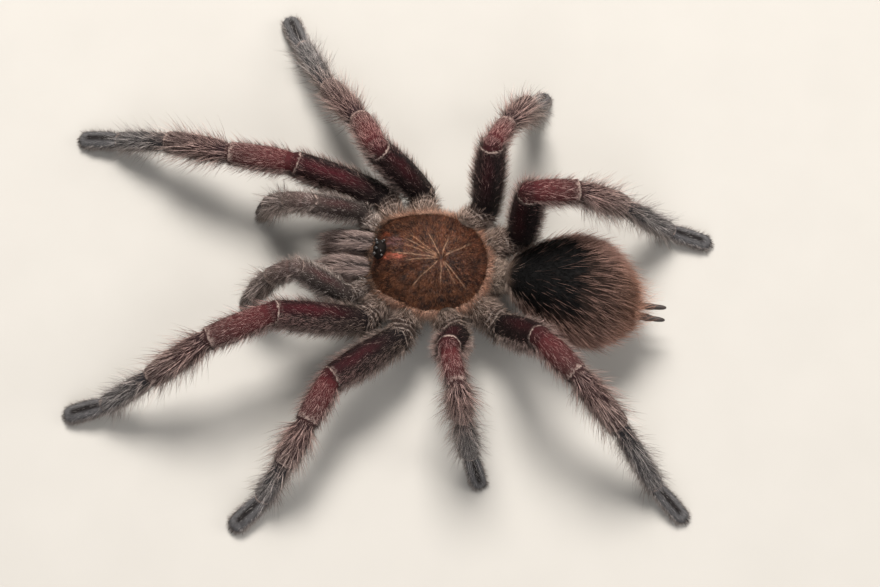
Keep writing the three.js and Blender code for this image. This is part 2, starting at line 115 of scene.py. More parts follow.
def stops(table, span=1.0):
    """A ramp's stops, from places in spans and display colours."""
    return [(place * span, paint(*colour)) for place, colour in table]


class Nodes:
    """Adds and links nodes in one tree."""

    def __init__(self, tree):
        self.tree = tree

    def put(self, value, socket):
        if isinstance(value, bpy.types.NodeSocket):
            self.tree.links.new(value, socket)
        else:
            socket.default_value = value

    def add(self, kind, inputs=None, **settings):
        made = self.tree.nodes.new("ShaderNode" + kind)
        for name, value in settings.items():
            setattr(made, name, value)
        for name, value in (inputs or {}).items():
            self.put(value, made.inputs[name])
        return made

    def math(self, operation, *values):
        made = self.add("Math", operation=operation)
        for socket, value in zip(made.inputs, values):
            self.put(value, socket)
        return made.outputs[0]

    def times(self, product, *others):
        for other in others:
            product = self.math("MULTIPLY", product, other)
        return product

    def plus(self, first, second):
        return self.math("ADD", first, second)

    def scaled(self, value, factor, offset):
        return self.math("MULTIPLY_ADD", value, factor, offset)

    def step(self, value, low, high, to_low=0.0, to_high=1.0):
        made = self.add("MapRange", {
            "Value": value, "From Min": low, "From Max": high, "To Min": to_low, "To Max": to_high,
        }, interpolation_type="SMOOTHSTEP")
        return made.outputs["Result"]

    def between(self, value, low, high, soft):
        """1 where a value lies between two others, with soft edges."""
        rise = self.step(value, low - soft, low + soft)
        return self.times(rise, self.step(value, high - soft, high + soft, 1.0, 0.0))

    def mix(self, factor, first, second, blend="MIX"):
        made = self.add("Mix", data_type="RGBA", blend_type=blend)
        for socket, value in zip(("Factor", 6, 7), (factor, first, second)):
            self.put(value, made.inputs[socket])
        return made.outputs[2]

    def over(self, colour, mask, amount, tint):
        """A colour with another laid over it, where a mask says and as far as an amount says."""
        return self.mix(self.times(mask, amount), colour, tint)

    def ramp(self, factor, places):
        made = self.add("ValToRGB", {"Fac": factor})
        elements = made.color_ramp.elements
        elements.remove(elements[-1])
        elements[0].position, elements[0].color = places[0]
        for place, colour in places[1:]:
            elements.new(place).color = colour
        return made.outputs["Color"]

    def attribute(self, name, output="Fac"):
        return self.add("Attribute", attribute_name=name, attribute_type="GEOMETRY").outputs[output]

    def noise(self, vector, scale, detail=2.0, roughness=0.5):
        made = self.add("TexNoise", {
            "Vector": vector, "Scale": scale, "Detail": detail, "Roughness": roughness,
        })
        return made.outputs["Fac"]


def new_group(name, inputs=None, **outputs):
    """A shader node group with sockets of the kinds given, and the nodes to fill it."""
    group = bpy.data.node_groups.new(name, "ShaderNodeTree")
    for direction, sockets in (("INPUT", inputs or {}), ("OUTPUT", outputs)):
        for label, kind in sockets.items():
            group.interface.new_socket(name=label, in_out=direction, socket_type="NodeSocket" + kind)
    nodes = Nodes(group)
    nodes.taken = group.nodes.new("NodeGroupInput").outputs
    nodes.given = group.nodes.new("NodeGroupOutput").inputs
    return group, nodes


class Finish(Nodes):
    """A material and the nodes to fill it."""

    def __init__(self, name):
        self.material = bpy.data.materials.new(name)
        self.material.use_nodes = True
        super().__init__(self.material.node_tree)
        self.sockets = self.tree.nodes["Principled BSDF"].inputs

    def object_place(self):
        return self.add("TexCoord").outputs["Object"]

    def surface(self, colour, roughness, specular=0.5):
        self.put(colour, self.sockets["Base Color"])
        self.put(roughness, self.sockets["Roughness"])
        self.put(specular, self.sockets["Specular IOR Level"])

    def bump(self, height, strength, distance):
        made = self.add("Bump", {"Height": height, "Strength": strength, "Distance": distance})
        self.put(made.outputs[0], self.sockets["Normal"])

    def shaded(self, colour, shade):
        return self.mix(1.0, colour, shade, "MULTIPLY")

    def hair_surface(self, colour, own_shade, tip_gain, root_shade, specular):
        """A hair's colour, darker towards its root and by a shade of its own."""
        shade = self.times(own_shade, self.scaled(self.attribute("tip"), tip_gain, root_shade))
        grey = self.add("CombineColor", {"Red": shade, "Green": shade, "Blue": shade}).outputs[0]
        self.surface(self.shaded(colour, grey), 0.45, specular)


# ---------- Modelling ----------

def deselect_all():
    bpy.ops.object.select_all(action="DESELECT")


def select_only(piece):
    deselect_all()
    piece.select_set(True)
    bpy.context.view_layer.objects.active = piece


def leave_facing_outwards():
    """Ends edit mode, with all faces turned outwards."""
    bpy.ops.mesh.select_all(action="SELECT")
    bpy.ops.mesh.normals_make_consistent(inside=False)
    bpy.ops.object.mode_set(mode="OBJECT")


def face_outwards(piece):
    select_only(piece)
    bpy.ops.object.mode_set(mode="EDIT")
    leave_facing_outwards()


def swept(name, stations, sides=24):
    """A closed form along +Z, extruded ring by ring: z, half width, half height, middle's x and y of each."""
    deselect_all()
    z, half_width, half_height, x, y = stations[0]
    bpy.ops.mesh.primitive_circle_add(vertices=sides, radius=1, fill_type="NGON")
    piece = bpy.context.object
    piece.name = name
    bpy.ops.object.mode_set(mode="EDIT")
    bpy.ops.transform.resize(value=(half_width, half_height, 1))
    bpy.ops.transform.translate(value=(x, y, z))
    for before, after in zip(stations, stations[1:]):
        move = (after[3] - before[3], after[4] - before[4], after[0] - before[0])
        bpy.ops.mesh.extrude_region_move(TRANSFORM_OT_translate={"value": move})
        bpy.ops.transform.resize(
            value=(after[1] / before[1], after[2] / before[2], 1),
            center_override=(after[3], after[4], after[0]),
        )
    leave_facing_outwards()
    return piece


def place_on(piece, origin, direction, scale=(1, 1, 1)):
    """Lays a form's +Z along a direction, its +Y upward, sized in mm, and leaves its place in its mesh."""
    direction = direction / np.linalg.norm(direction)
    across = np.cross((0, 0, 1), direction)
    across /= np.linalg.norm(across)
    upward = np.cross(direction, across)
    matrix = np.eye(4)
    matrix[:3, :3] = np.stack([across, upward, direction], 1) * np.array(scale) * MM
    matrix[:3, 3] = np.array(origin) * MM
    piece.data.transform(Matrix(matrix.tolist()))


def place_at(piece, middle, turn=Matrix.Identity(4), size=(1, 1, 1)):
    """Puts a form at a place in mm, turned and sized, and leaves its place in its mesh."""
    sized = Matrix.Diagonal((*[MM * s for s in size], 1))
    piece.data.transform(Matrix.Translation(Vector(middle) * MM) @ turn @ sized)


def copy_of(piece, name):
    made = piece.copy()
    made.data = piece.data.copy()
    made.name = name
    bpy.context.collection.objects.link(made)
    return made


def join(pieces):
    """Makes the first piece of them all."""
    select_only(pieces[0])
    for piece in pieces:
        piece.select_set(True)
    bpy.ops.object.join()
    return pieces[0]


def apply_modifier(piece, kind, **settings):
    select_only(piece)
    modifier = piece.modifiers.new(kind.lower(), kind)
    for name, value in settings.items():
        setattr(modifier, name, value)
    bpy.ops.object.modifier_apply(modifier=modifier.name)


def finish_piece(piece, name, slot, finish, *nodes_replaced):
    select_only(piece)
    bpy.ops.object.shade_smooth()
    piece.name = name
    piece.data.materials.clear()
    piece.data.materials.append(finish.material)
    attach(piece, "root")
    if nodes_replaced:
        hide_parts(*nodes_replaced)


def read(items, field, width=3, kind=np.float32):
    """One row of numbers for each point, edge or triangle of a mesh."""
    values = np.empty(len(items) * width, kind)
    items.foreach_get(field, values)
    return values.reshape(-1, width)


def mesh_points(data):
    """A mesh's points, in mm."""
    return read(data.vertices, "co").astype(float) / MM


def mesh_normals(data):
    return read(data.vertex_normals, "vector").astype(float)


def put_points(data, points):
    data.vertices.foreach_set("co", (points * MM).astype(np.float32).ravel())
    data.update()


def put_attribute(data, name, values):
    kind, field = ("FLOAT_VECTOR", "vector") if values.ndim == 2 else ("FLOAT", "value")
    made = data.attributes.new(name, kind, "POINT")
    made.data.foreach_set(field, values.astype(np.float32).ravel())


def unit(vectors):
    return vectors / np.maximum(np.linalg.norm(vectors, axis=-1, keepdims=True), 1e-9)


# ---------- Limbs ----------

HIP_Z = 10.5
SOLE_PRESS, SOLE_SIDES = 0.4, 10
FOOT_END = [(0.86, 1.0), (0.96, 0.84), (1.0, 0.5)]  # places along the foot, and its slimness there
# Each segment's start, middle and end as parts of its girth, its height over width, and its coat's depth.
SEGMENT_SHAPES = {
    "coxa": (0.72, 1.0, 1.06, 1.04, 0.6),
    "femur": (0.86, 1.02, 0.84, 1.08, 0.45),
    "patella": (0.9, 1.03, 0.92, 1.02, 0.5),
    "tibia": (0.94, 1.04, 0.88, 1.0, 0.55),
    "metatarsus": (0.98, 1.0, 0.9, 0.96, 0.6),
    "tarsus": (0.92, 1.02, 0.94, 0.78, 0.5),
}
SEGMENTS = list(SEGMENT_SHAPES)
NECKS = {"patella": 0.97, "tibia": 0.82, "metatarsus": 0.84, "tarsus": 0.88}  # how slim a segment starts
# The hip's place ahead and aside, the segments' lengths, and their girths.
LIMB_BUILDS = {
    "palp": ((9.0, 3.4), (10, 15, 8.5, 9.5, 8), (4.6, 5.4, 5.0, 5.0, 4.8)),
    "leg_1": ((6.0, 4.5), (12, 21.5, 14.5, 16, 14.5, 9.5), (6.4, 7.2, 6.2, 6.0, 5.2, 5.0)),
    "leg_2": ((2.0, 5.2), (12.7, 16.6, 12.1, 14.3, 15.2, 9.5), (6.6, 7.2, 6.2, 6.0, 5.2, 5.0)),
    "leg_3": ((-2.0, 5.2), (12.2, 17, 8.2, 11, 12.6, 8.3), (6.8, 6.9, 5.3, 5.5, 5.0, 4.4)),
    "leg_4": ((-6.0, 4.2), (13.6, 19.5, 10.5, 15.5, 18.5, 9.5), (7.0, 7.1, 6.2, 6.0, 5.0, 4.6)),
}
# Kind, side, the segments' headings and pitches, and lengths of the limb's own. The foot lands on the floor.
LIMB_POSES = [
    ("palp", RIGHT, (42, -17, 21, 16, 13), (5, 42, -45, -56)),
    ("palp", LEFT, (38, -6, 7, 21, 26), (5, 45, -46, -62)),
    ("leg_1", RIGHT, (59, 7, 2, 11, 8, -1), (-2, 18, -2, -19, -32)),
    ("leg_1", LEFT, (57, 14, 31, 34, 26, 18), (2, 29, -2, -29, -39)),
    ("leg_2", RIGHT, (79, 20, 58, 47, 55, 59), (-8, 49, -29, -24, -22)),
    ("leg_2", LEFT, (80, 44, 71, 67, 59, 51), (2, 11, -2, -21, -45), (12.1, 18, 10.7, 10.3, 10.3, 8.9)),
    ("leg_3", RIGHT, (132, 89, 110, 113, 107, 109), (10, 57, -24, -35, -73)),
    ("leg_3", LEFT, (120, 85, 111, 115, 118, 121), (8, 63, 3, -66, -67)),
    ("leg_4", RIGHT, (157, 107, 167, 163, 173, 187), (2, 81, -8, -48, -52)),
    ("leg_4", LEFT, (150, 140, 142, 146, 140, 141), (-3, 56, 0, -37, -46)),
]


def heading(side, yaw, pitch):
    yaw, pitch = math.radians(yaw), math.radians(pitch)
    level = math.cos(pitch)
    return np.array([side * level * math.sin(yaw), -level * math.cos(yaw), math.sin(pitch)])


def thickness_at(kind, along):
    """A segment's width there, as a part of its girth; the height is this times its tallness."""
    start, middle, end = SEGMENT_SHAPES[kind][:3]
    near = start + (middle - start) * np.sin(np.pi * along)
    far = end + (middle - end) * np.sin(np.pi * along)
    return np.where(np.asarray(along) < 0.5, near, far)


def neck_at(kind, along):
    """How much slimmer the skin is there than the segment's solid, near the joint it starts from."""
    slim = NECKS.get(kind, 1.0)
    return slim + (1 - slim) * min(along / 0.25, 1.0) ** 0.8


def landing_pitch(from_z, length, thickness):
    """The pitch at which a foot that hangs from a joint presses on the floor."""
    steep, level = -1.5, 0.0
    reach_down = thickness / 2 * math.cos(math.pi / SOLE_SIDES)
    for _ in range(30):
        pitch = (steep + level) / 2
        lowest = min(
            from_z + along * length * math.sin(pitch) - shrink * reach_down * math.cos(pitch)
            for along, shrink in FOOT_END
        )
        if lowest < -SOLE_PRESS:
            steep = pitch
        else:
            level = pitch
    return math.degrees(level)


class Segment:
    """One length of a limb: where it starts, its heading, and its size in mm."""

    def __init__(self, limb, kind, start, direction, length, girth):
        self.limb, self.kind, self.start, self.direction = limb, kind, start, direction
        self.length, self.girth = length, girth
        self.order = SEGMENTS.index(kind)
        self.across = np.cross((0, 0, 1), direction)
        self.across /= np.linalg.norm(self.across)
        self.upward = np.cross(direction, self.across)
        self.tall, self.depth = SEGMENT_SHAPES[kind][3:]

    def half_size(self, along):
        width = self.girth * thickness_at(self.kind, along) / 2
        return width - self.depth, width * self.tall - self.depth


def limb_segments(number, kind, side, yaws, pitches, own_lengths=None):
    hip, lengths, girths = LIMB_BUILDS[kind]
    lengths = own_lengths or lengths
    kinds = [each for each in SEGMENTS if kind != "palp" or each != "metatarsus"]
    start = body_point(hip[0], side * hip[1], HIP_Z)
    found = []
    for each, length, girth, yaw, pitch in zip(kinds, lengths, girths, yaws, (*pitches, None)):
        if pitch is None:
            tall = SEGMENT_SHAPES["tarsus"][3]
            pitch = landing_pitch(start[2], length, girth * float(thickness_at("tarsus", 1.0)) * tall)
        direction = heading(side, yaw, pitch)
        found.append(Segment(number, each, start, direction, length, girth))
        start = start + direction * length
    return found


LIMBS = [limb_segments(number, *pose) for number, pose in enumerate(LIMB_POSES)]
LIMB_NAMES = [f"{kind}_{SIDE_NAME[side]}" for kind, side, *_ in LIMB_POSES]
ABDOMEN, BODY, JAW = 20, 21, 22  # parts of the skin that aren't limbs


# ---------- The skin's forms ----------

sources = []  # (object, part, segment or None)
STEPS = (0, 0.1, 0.25, 0.4, 0.5, 0.6, 0.75, 0.9, 1.0)
FOOT_STEPS = (0, 0.1, 0.25, 0.4, 0.5, 0.6, 0.72, 0.8, 0.86, 0.93, 0.97, 1.0)
FOOT_ROUNDING = {0.93: 0.93, 0.97: 0.74, 1.0: 0.36}


def model_segment(kind):
    """A limb segment one long and one in girth, lying along +Z."""
    steps, rounding = (FOOT_STEPS, FOOT_ROUNDING) if kind == "tarsus" else (STEPS, {})
    stations = []
    for along in steps:
        half = float(thickness_at(kind, along)) / 2 * rounding.get(along, 1.0) * neck_at(kind, along)
        stations.append((along, half, half * SEGMENT_SHAPES[kind][3], 0, 0))
    return swept(f"{kind}_form", stations)


segment_forms = {kind: model_segment(kind) for kind in SEGMENTS}
deselect_all()
bpy.ops.mesh.primitive_uv_sphere_add(segments=24, ring_count=14, radius=1)
joint_form = bpy.context.object

for limb in LIMBS:
    for before, segment in zip([None, *limb], limb):
        form = copy_of(segment_forms[segment.kind], "skin_form")
        across = segment.girth * (1 - 2 * segment.depth / segment.girth)
        place_on(form, segment.start, segment.direction, (across, across, segment.length))
        sources.append((form, segment.limb, segment))
        if before:
            joint = copy_of(joint_form, "skin_form")
            ends = zip(before.half_size(1.0), segment.half_size(0.0))
            wide, high = (float(a + b * neck_at(segment.kind, 0)) / 2 for a, b in ends)
            place_on(joint, segment.start, segment.direction + before.direction, (wide, high, high))
            sources.append((joint, segment.limb, segment))

ABDOMEN_LENGTH, ABDOMEN_HALF_WIDTH, ABDOMEN_HALF_HEIGHT = 27.6, 11.3, 8.4
ABDOMEN_SWING, ABDOMEN_SAG = 2.5, 1.4  # how far its end lies to the left, and down
ABDOMEN_ORIGIN = body_point(-16.2, 0, 13.2)
stations = []
for k in range(17):
    along = (1 - math.cos(math.pi * (0.03 + 0.94 * k / 16))) / 2
    full = float(np.sin(np.pi * along**1.4) ** 0.42)
    stations.append((
        ABDOMEN_LENGTH * along, ABDOMEN_HALF_WIDTH * full, ABDOMEN_HALF_HEIGHT * full,
        -ABDOMEN_SWING * along**1.3, -ABDOMEN_SAG * along**2,
    ))
form = swept("abdomen_form", stations, 40)
place_on(form, ABDOMEN_ORIGIN, np.array([0, 1, 0]))
sources.append((form, ABDOMEN, None))

JAW_ROOT, JAW_TIP, JAW_OUT, JAW_Z, JAW_DROP, JAW_COAT = 10.2, 23.4, 2.95, 10.7, 2.4, 0.4
for side in (RIGHT, LEFT):
    stations = []
    for k in range(13):
        along = k / 12
        size = 0.34 + 0.66 * math.sin(math.pi * min(along * 0.78 + 0.16, 1)) ** 0.55
        stations.append((
            (JAW_TIP - JAW_ROOT - JAW_COAT) * along,
            5.5 * min(size * 1.1, 1) / 2 - JAW_COAT, 4.0 * size - JAW_COAT, 0, -JAW_DROP * along**3,
        ))
    form = swept("jaw_form", stations, 28)
    place_on(form, body_point(JAW_ROOT, side * JAW_OUT, JAW_Z), np.array([0, -1, 0]))
    sources.append((form, JAW + (side == LEFT), None))

for middle, half in (
    (body_point(0.4, 0, 9.4), (5.4, 10.0, 3.2)),
    (body_point(-0.6, 0, 11.6), (9.2, 11.0, 1.5)),
    (body_point(-13.2, 0, 10.4), (3.8, 4.2, 2.0)),
):
    core = copy_of(joint_form, "skin_form")
    place_at(core, middle, size=half)
    sources.append((core, BODY, None))

for form in (joint_form, *segment_forms.values()):
    bpy.data.objects.remove(form)

# Where each point of the skin belongs is read from the forms, before they become one.
form_points, form_faces, face_source = [], [], []
for index, (piece, *_) in enumerate(sources):
    offset = len(form_points)
    form_points += [tuple(v.co) for v in piece.data.vertices]
    form_faces += [[offset + i for i in p.vertices] for p in piece.data.polygons]
    face_source += [index] * len(piece.data.polygons)
form_tree = BVHTree.FromPolygons(form_points, form_faces)

skin = join([piece for piece, *_ in sources])
apply_modifier(skin, "REMESH", mode="VOXEL", voxel_size=0.5 * MM, use_smooth_shade=True)
apply_modifier(skin, "SMOOTH", factor=0.5, iterations=5)


# ---------- Places on the skin ----------

FEELERS, GREY_FLANKS = (0, 1), (3, 5)  # the feelers, and the limbs whose thighs have a fuzzy grey hind side
THIGH_DARKNESS = (0.3, 0.3, 0.1, 0.25, 0.75, 0.55, 1.0, 0.8, 1.0, 0.95)  # of each limb
FOLDS_FROM, FOLD_WIDTH = 0.66, 0.08  # of the hip's length
JAW_BANDS = 7
FAR = 9.0  # mm, for points that aren't near a segment's end
FLOOR_GAP = 0.03  # mm that the skin stays above the floor
points = mesh_points(skin.data)
owner = np.array([face_source[form_tree.find_nearest(Vector(p * MM))[2]] for p in points])
count = len(points)
part = np.array([source[1] for source in sources])[owner]
along, topside, foreside, angle, darkness = np.zeros((5, count))
unbent, lay = np.zeros((2, count, 3))
before_end, after_start = np.full((2, count), FAR)


def mark(mine, run, x, y, fore, straight, way):
    """Marks a part's points: place along it, side, place as if it were straight, and which way hair lies."""
    radius = np.maximum(np.hypot(x, y), 1e-6)
    along[mine], topside[mine], foreside[mine] = run, y / radius, fore * x / radius
    angle[mine], unbent[mine], lay[mine] = np.arctan2(x, -y), straight, way


for limb, (_, side, *_) in zip(LIMBS, LIMB_POSES):
    reached = 0.0
    for segment in limb:
        mine = np.isin(owner, [i for i, source in enumerate(sources) if source[2] is segment])
        offset = points[mine] - segment.start
        run, x, y = offset @ segment.direction, offset @ segment.across, offset @ segment.upward
        t = np.clip(run / segment.length, 0, 1.05 if segment.order < 5 else 0.999)
        if segment.order == 1:
            t = np.where(run < 0, np.clip(run / 12, -0.3, -0.001), t)
        mark(mine, segment.order + t, x, y, -side, np.stack([reached + run, x, y], 1), segment.direction)
        darkness[mine] = THIGH_DARKNESS[segment.limb]
        before_end[mine], after_start[mine] = segment.length - run, run
        reached += segment.length

mine = part == ABDOMEN
offset = points[mine] - ABDOMEN_ORIGIN
run = np.clip(offset[:, 1] / ABDOMEN_LENGTH, 0, 1)
x = (offset[:, 0] - ABDOMEN_SWING * run**1.3) / ABDOMEN_HALF_WIDTH
y = (offset[:, 2] + ABDOMEN_SAG * run**2) / ABDOMEN_HALF_HEIGHT
backward = np.stack([x * (0.95 - 0.3 * run), np.ones(len(x)), -0.2 * run * np.abs(x)], 1)
mark(mine, run, x, y, 1, offset, backward)

for side in (RIGHT, LEFT):
    mine = part == JAW + (side == LEFT)
    offset = points[mine] - body_point(JAW_ROOT, side * JAW_OUT, JAW_Z)
    run = np.clip(-offset[:, 1] / (JAW_TIP - JAW_ROOT), 0, 1)
    x, y = offset[:, 0], offset[:, 2] + JAW_DROP * run**3
    forward = np.stack([x * 0.02, -np.ones(len(x)), -0.5 * run**2], 1)
    mark(mine, run, x, y, side, np.stack([-offset[:, 1], x, y], 1), forward)

mine = part == BODY
offset = points[mine] - body_point(0, 0, 10)
topside[mine] = np.clip(offset[:, 2] / 2, -1, 1)
angle[mine] = np.arctan2(offset[:, 0], -offset[:, 1])
unbent[mine], lay[mine] = offset, unit(offset * (1, 1, 0.2))
lay = unit(lay)

edges = read(skin.data.edges, "vertices", 2, np.int32)
neighbours = np.bincount(edges.ravel(), minlength=count)


def softened(values, rounds):
    """Values on the skin's points, averaged with their neighbours'."""
    values = values.astype(float)
    for _ in range(rounds):
        total = np.zeros_like(values)
        np.add.at(total, edges[:, 0], values[edges[:, 1]])
        np.add.at(total, edges[:, 1], values[edges[:, 0]])
        values = (values + total / neighbours) / 2
    return values


# Folds: pale rings of soft skin where the thigh joins the hip, a lip and a groove at every other joint.
is_limb, is_jaw = part < ABDOMEN, part >= JAW
order = np.floor(along).astype(int).clip(0, 5)
has_lip = is_limb & (order > 0) & (order < 5)
hip_ring = is_limb & (along > FOLDS_FROM) & (along < 1.0) & (topside > -0.4)
ripple = 0.5 + 0.5 * np.cos((along - FOLDS_FROM + 0.02 * np.sin(angle * 2 + part)) * math.tau / FOLD_WIDTH)
rings = np.where(hip_ring, 0.34 * (ripple - 0.5), 0)
lip = np.where(has_lip, 0.14 * np.exp(-((before_end - 0.5) / 0.5) ** 2), 0)
groove = np.where(is_limb & (order > 1), -0.2 * np.exp(-((after_start - 0.45) / 0.55) ** 2), 0)
jaw_bands = np.where(is_jaw, 0.12 * np.cos(angle * JAW_BANDS) * (topside > -0.3), 0)
points = points + mesh_normals(skin.data) * softened(rings + lip + groove + jaw_bands, 1)[:, None]
points[:, 2] = np.maximum(points[:, 2], FLOOR_GAP)
put_points(skin.data, points)
normals = mesh_normals(skin.data)

MARKS = {
    "along": along, "topside": topside, "foreside": foreside, "unbent": unbent, "darkness": darkness,
    "on_limb": softened(is_limb & (along > 0.6), 3), "on_abdomen": softened(part == ABDOMEN, 4),
    "jaw_band": softened(np.where(is_jaw, 0.5 + 0.5 * np.cos(angle * JAW_BANDS), 0), 1),
    "feeler": softened(np.isin(part, FEELERS), 0), "grey_flank": softened(np.isin(part, GREY_FLANKS), 0),
    "edge": np.where(has_lip, before_end, FAR), "fold": softened(hip_ring, 2),
}
for name, values in MARKS.items():
    put_attribute(skin.data, name, values)


# ---------- Markings, shared by the skin and the coat ----------

SIXTH = 1 / 6  # a segment's share of a limb's ramps
TOP_COLOURS = [
    (0, (98, 80, 71)), (0.6, (92, 74, 66)), (0.68, (72, 57, 50)), (0.95, (48, 37, 33)), (1.0, (22, 12, 13)),
    (1.3, (25, 9, 11)), (1.6, (33, 11, 13)), (1.97, (38, 15, 16)),
    (2.03, (76, 27, 29)), (2.2, (90, 37, 39)), (2.6, (87, 43, 43)), (2.97, (80, 50, 48)),
    (3.03, (50, 32, 34)), (3.25, (56, 34, 36)), (3.97, (66, 48, 49)),
    (4.03, (54, 51, 54)), (4.3, (64, 62, 64)), (4.9, (90, 87, 88)), (5.02, (108, 105, 106)),
    (5.9, (108, 106, 107)),
]
UNDER_COLOURS = [
    (0, (108, 96, 88)), (1.0, (100, 88, 80)), (1.2, (72, 66, 62)), (2.0, (80, 68, 64)),
    (3.0, (72, 60, 57)), (4.0, (70, 63, 61)), (5.0, (110, 105, 103)), (5.9, (128, 122, 119)),
]
limb_markings, nodes = new_group("Limb markings", Color="Color")
place, side_on, height = (nodes.attribute(name) for name in ("along", "foreside", "topside"))
straight = nodes.attribute("unbent", "Vector")
run = nodes.times(place, SIXTH)
waver = nodes.scaled(nodes.noise(straight, 0.35, 2), 0.5, -0.25)
speckle = nodes.noise(straight, 1.6, 3)
fore = nodes.plus(side_on, waver)
top = nodes.ramp(run, stops(TOP_COLOURS, SIXTH))
stripe = nodes.times(
    nodes.between(fore, -0.22, 0.42, 0.3), nodes.between(place, 1.35, 1.97, 0.3),
    nodes.step(nodes.attribute("feeler"), 0, 1, 1.0, 0.8),
)
top = nodes.over(top, stripe, 0.88, paint(80, 19, 30))
flank = nodes.times(nodes.step(fore, -0.3, -0.6), nodes.between(place, 1.05, 1.96, 0.03))
flank_colour = nodes.mix(nodes.attribute("grey_flank"), paint(18, 12, 13), paint(54, 44, 41))
top = nodes.over(top, flank, 0.85, flank_colour)
thigh = nodes.times(nodes.between(place, 1.02, 1.99, 0.02), nodes.attribute("darkness"))
top = nodes.over(top, thigh, 0.72, paint(13, 6, 7))
foot_stripe = nodes.times(nodes.between(side_on, -0.4, 0.4, 0.26), nodes.between(place, 5.06, 5.8, 0.08))
top = nodes.over(top, foot_stripe, 0.9, paint(28, 21, 19))
colour = nodes.mix(nodes.step(height, -0.05, 0.45), nodes.ramp(run, stops(UNDER_COLOURS, SIXTH)), top)
greyer = nodes.times(nodes.attribute("feeler"), nodes.step(place, 1.5, 2.3, 0.3, 1.0))
colour = nodes.over(colour, greyer, 0.75, paint(106, 94, 88))
edge = nodes.plus(nodes.attribute("edge"), nodes.scaled(speckle, 0.9, -0.45))
patchy = nodes.step(nodes.noise(straight, 0.8, 2), 0.36, 0.56, 0.2, 0.85)
tufts = nodes.times(
    nodes.step(edge, 1.7, 0.4), nodes.step(speckle, 0.46, 0.6, 0.0, 0.8),
    nodes.step(place, 1.98, 2.7, 0.45, 1.0),
)
pale = nodes.math("MAXIMUM", nodes.times(nodes.between(edge, 0.14, 0.42, 0.1), patchy), tufts)
colour = nodes.mix(nodes.times(pale, nodes.step(height, -0.2, 0.6)), colour, paint(200, 176, 165))
ripple = nodes.times(nodes.plus(place, nodes.scaled(waver, 0.22, -FOLDS_FROM)), math.tau / FOLD_WIDTH)
ridge = nodes.times(
    nodes.step(nodes.math("COSINE", ripple), 0.1, 1.0), nodes.attribute("fold"),
    nodes.step(speckle, 0.38, 0.6, 0.2, 0.8),
)
nodes.put(nodes.mix(ridge, colour, paint(184, 166, 156)), nodes.given["Color"])

body_markings, nodes = new_group("Body markings", Color="Color")
patches = nodes.noise(nodes.attribute("unbent", "Vector"), 0.45, 3)
colour = nodes.mix(nodes.step(patches, 0.35, 0.65), paint(66, 55, 48), paint(130, 110, 98))
band = nodes.attribute("jaw_band")
banded = nodes.mix(band, paint(32, 26, 26), paint(152, 132, 126))
nodes.put(nodes.mix(nodes.step(band, 0.0, 0.02), colour, banded), nodes.given["Color"])

# The abdomen's black saddle reaches far down in front, most of all on the right.
abdomen_markings, nodes = new_group("Abdomen markings", Color="Color")
run, height = nodes.attribute("along"), nodes.attribute("topside")
drift = nodes.scaled(nodes.noise(nodes.attribute("unbent", "Vector"), 0.3, 3), 0.24, -0.12)
colour = nodes.ramp(run, stops([
    (0, (128, 112, 102)), (0.04, (98, 82, 72)), (0.1, (58, 44, 38)), (0.3, (48, 36, 31)),
    (0.7, (44, 33, 28)), (0.9, (54, 39, 33)), (1, (74, 50, 40)),
]))
in_front = nodes.times(nodes.step(run, 0.5, 0.1, 0.0, 0.4), nodes.step(height, -0.2, 0.3))
to_right = nodes.times(nodes.step(nodes.attribute("foreside"), 0.0, -0.5), nodes.step(run, 0.62, 0.4), 0.34)
height = nodes.plus(nodes.plus(height, drift), nodes.math("MAXIMUM", in_front, to_right))
saddle = nodes.times(nodes.between(nodes.plus(run, drift), 0.05, 0.62, 0.05), nodes.step(height, 0.5, 0.78))
nodes.put(nodes.mix(saddle, colour, paint(3, 2, 2)), nodes.given["Color"])


def marked_colour(nodes):
    """The markings of limbs, body and abdomen, blended where they meet."""
    groups = (body_markings, limb_markings, abdomen_markings)
    body, limb, abdomen = (nodes.add("Group", node_tree=group).outputs[0] for group in groups)
    colour = nodes.mix(nodes.attribute("on_limb"), body, limb)
    return nodes.mix(nodes.attribute("on_abdomen"), colour, abdomen)


finish = Finish("skin")
drawn_out = finish.add("Mapping", {"Vector": finish.attribute("unbent", "Vector"), "Scale": (0.8, 4.0, 4.0)})
strands = finish.noise(drawn_out.outputs[0], 1.6, 4, 0.7)
shade = finish.ramp(strands, [(0.3, (0.35, 0.35, 0.35, 1)), (0.7, (0.95, 0.95, 0.95, 1))])
finish.surface(finish.shaded(marked_colour(finish), shade), 0.62, 0.15)
finish.bump(strands, 0.8, 0.0003)
flesh = ["waist", "abdomen", "jaw_right", "jaw_left", "breast_plate"]
for name in LIMB_NAMES:
    flesh += [f"{name}_coxa", f"{name}_femur", f"{name}_shin"]
    if name.startswith("leg"):
        flesh.append(f"{name}_foot")
finish_piece(skin, "skin", "grey_coat", finish, *flesh)


# ---------- The coat ----------

PATCH = 0.003  # the side of a hair's own patch of the UV map
HAIR_FLOOR_GAP = 0.02  # mm


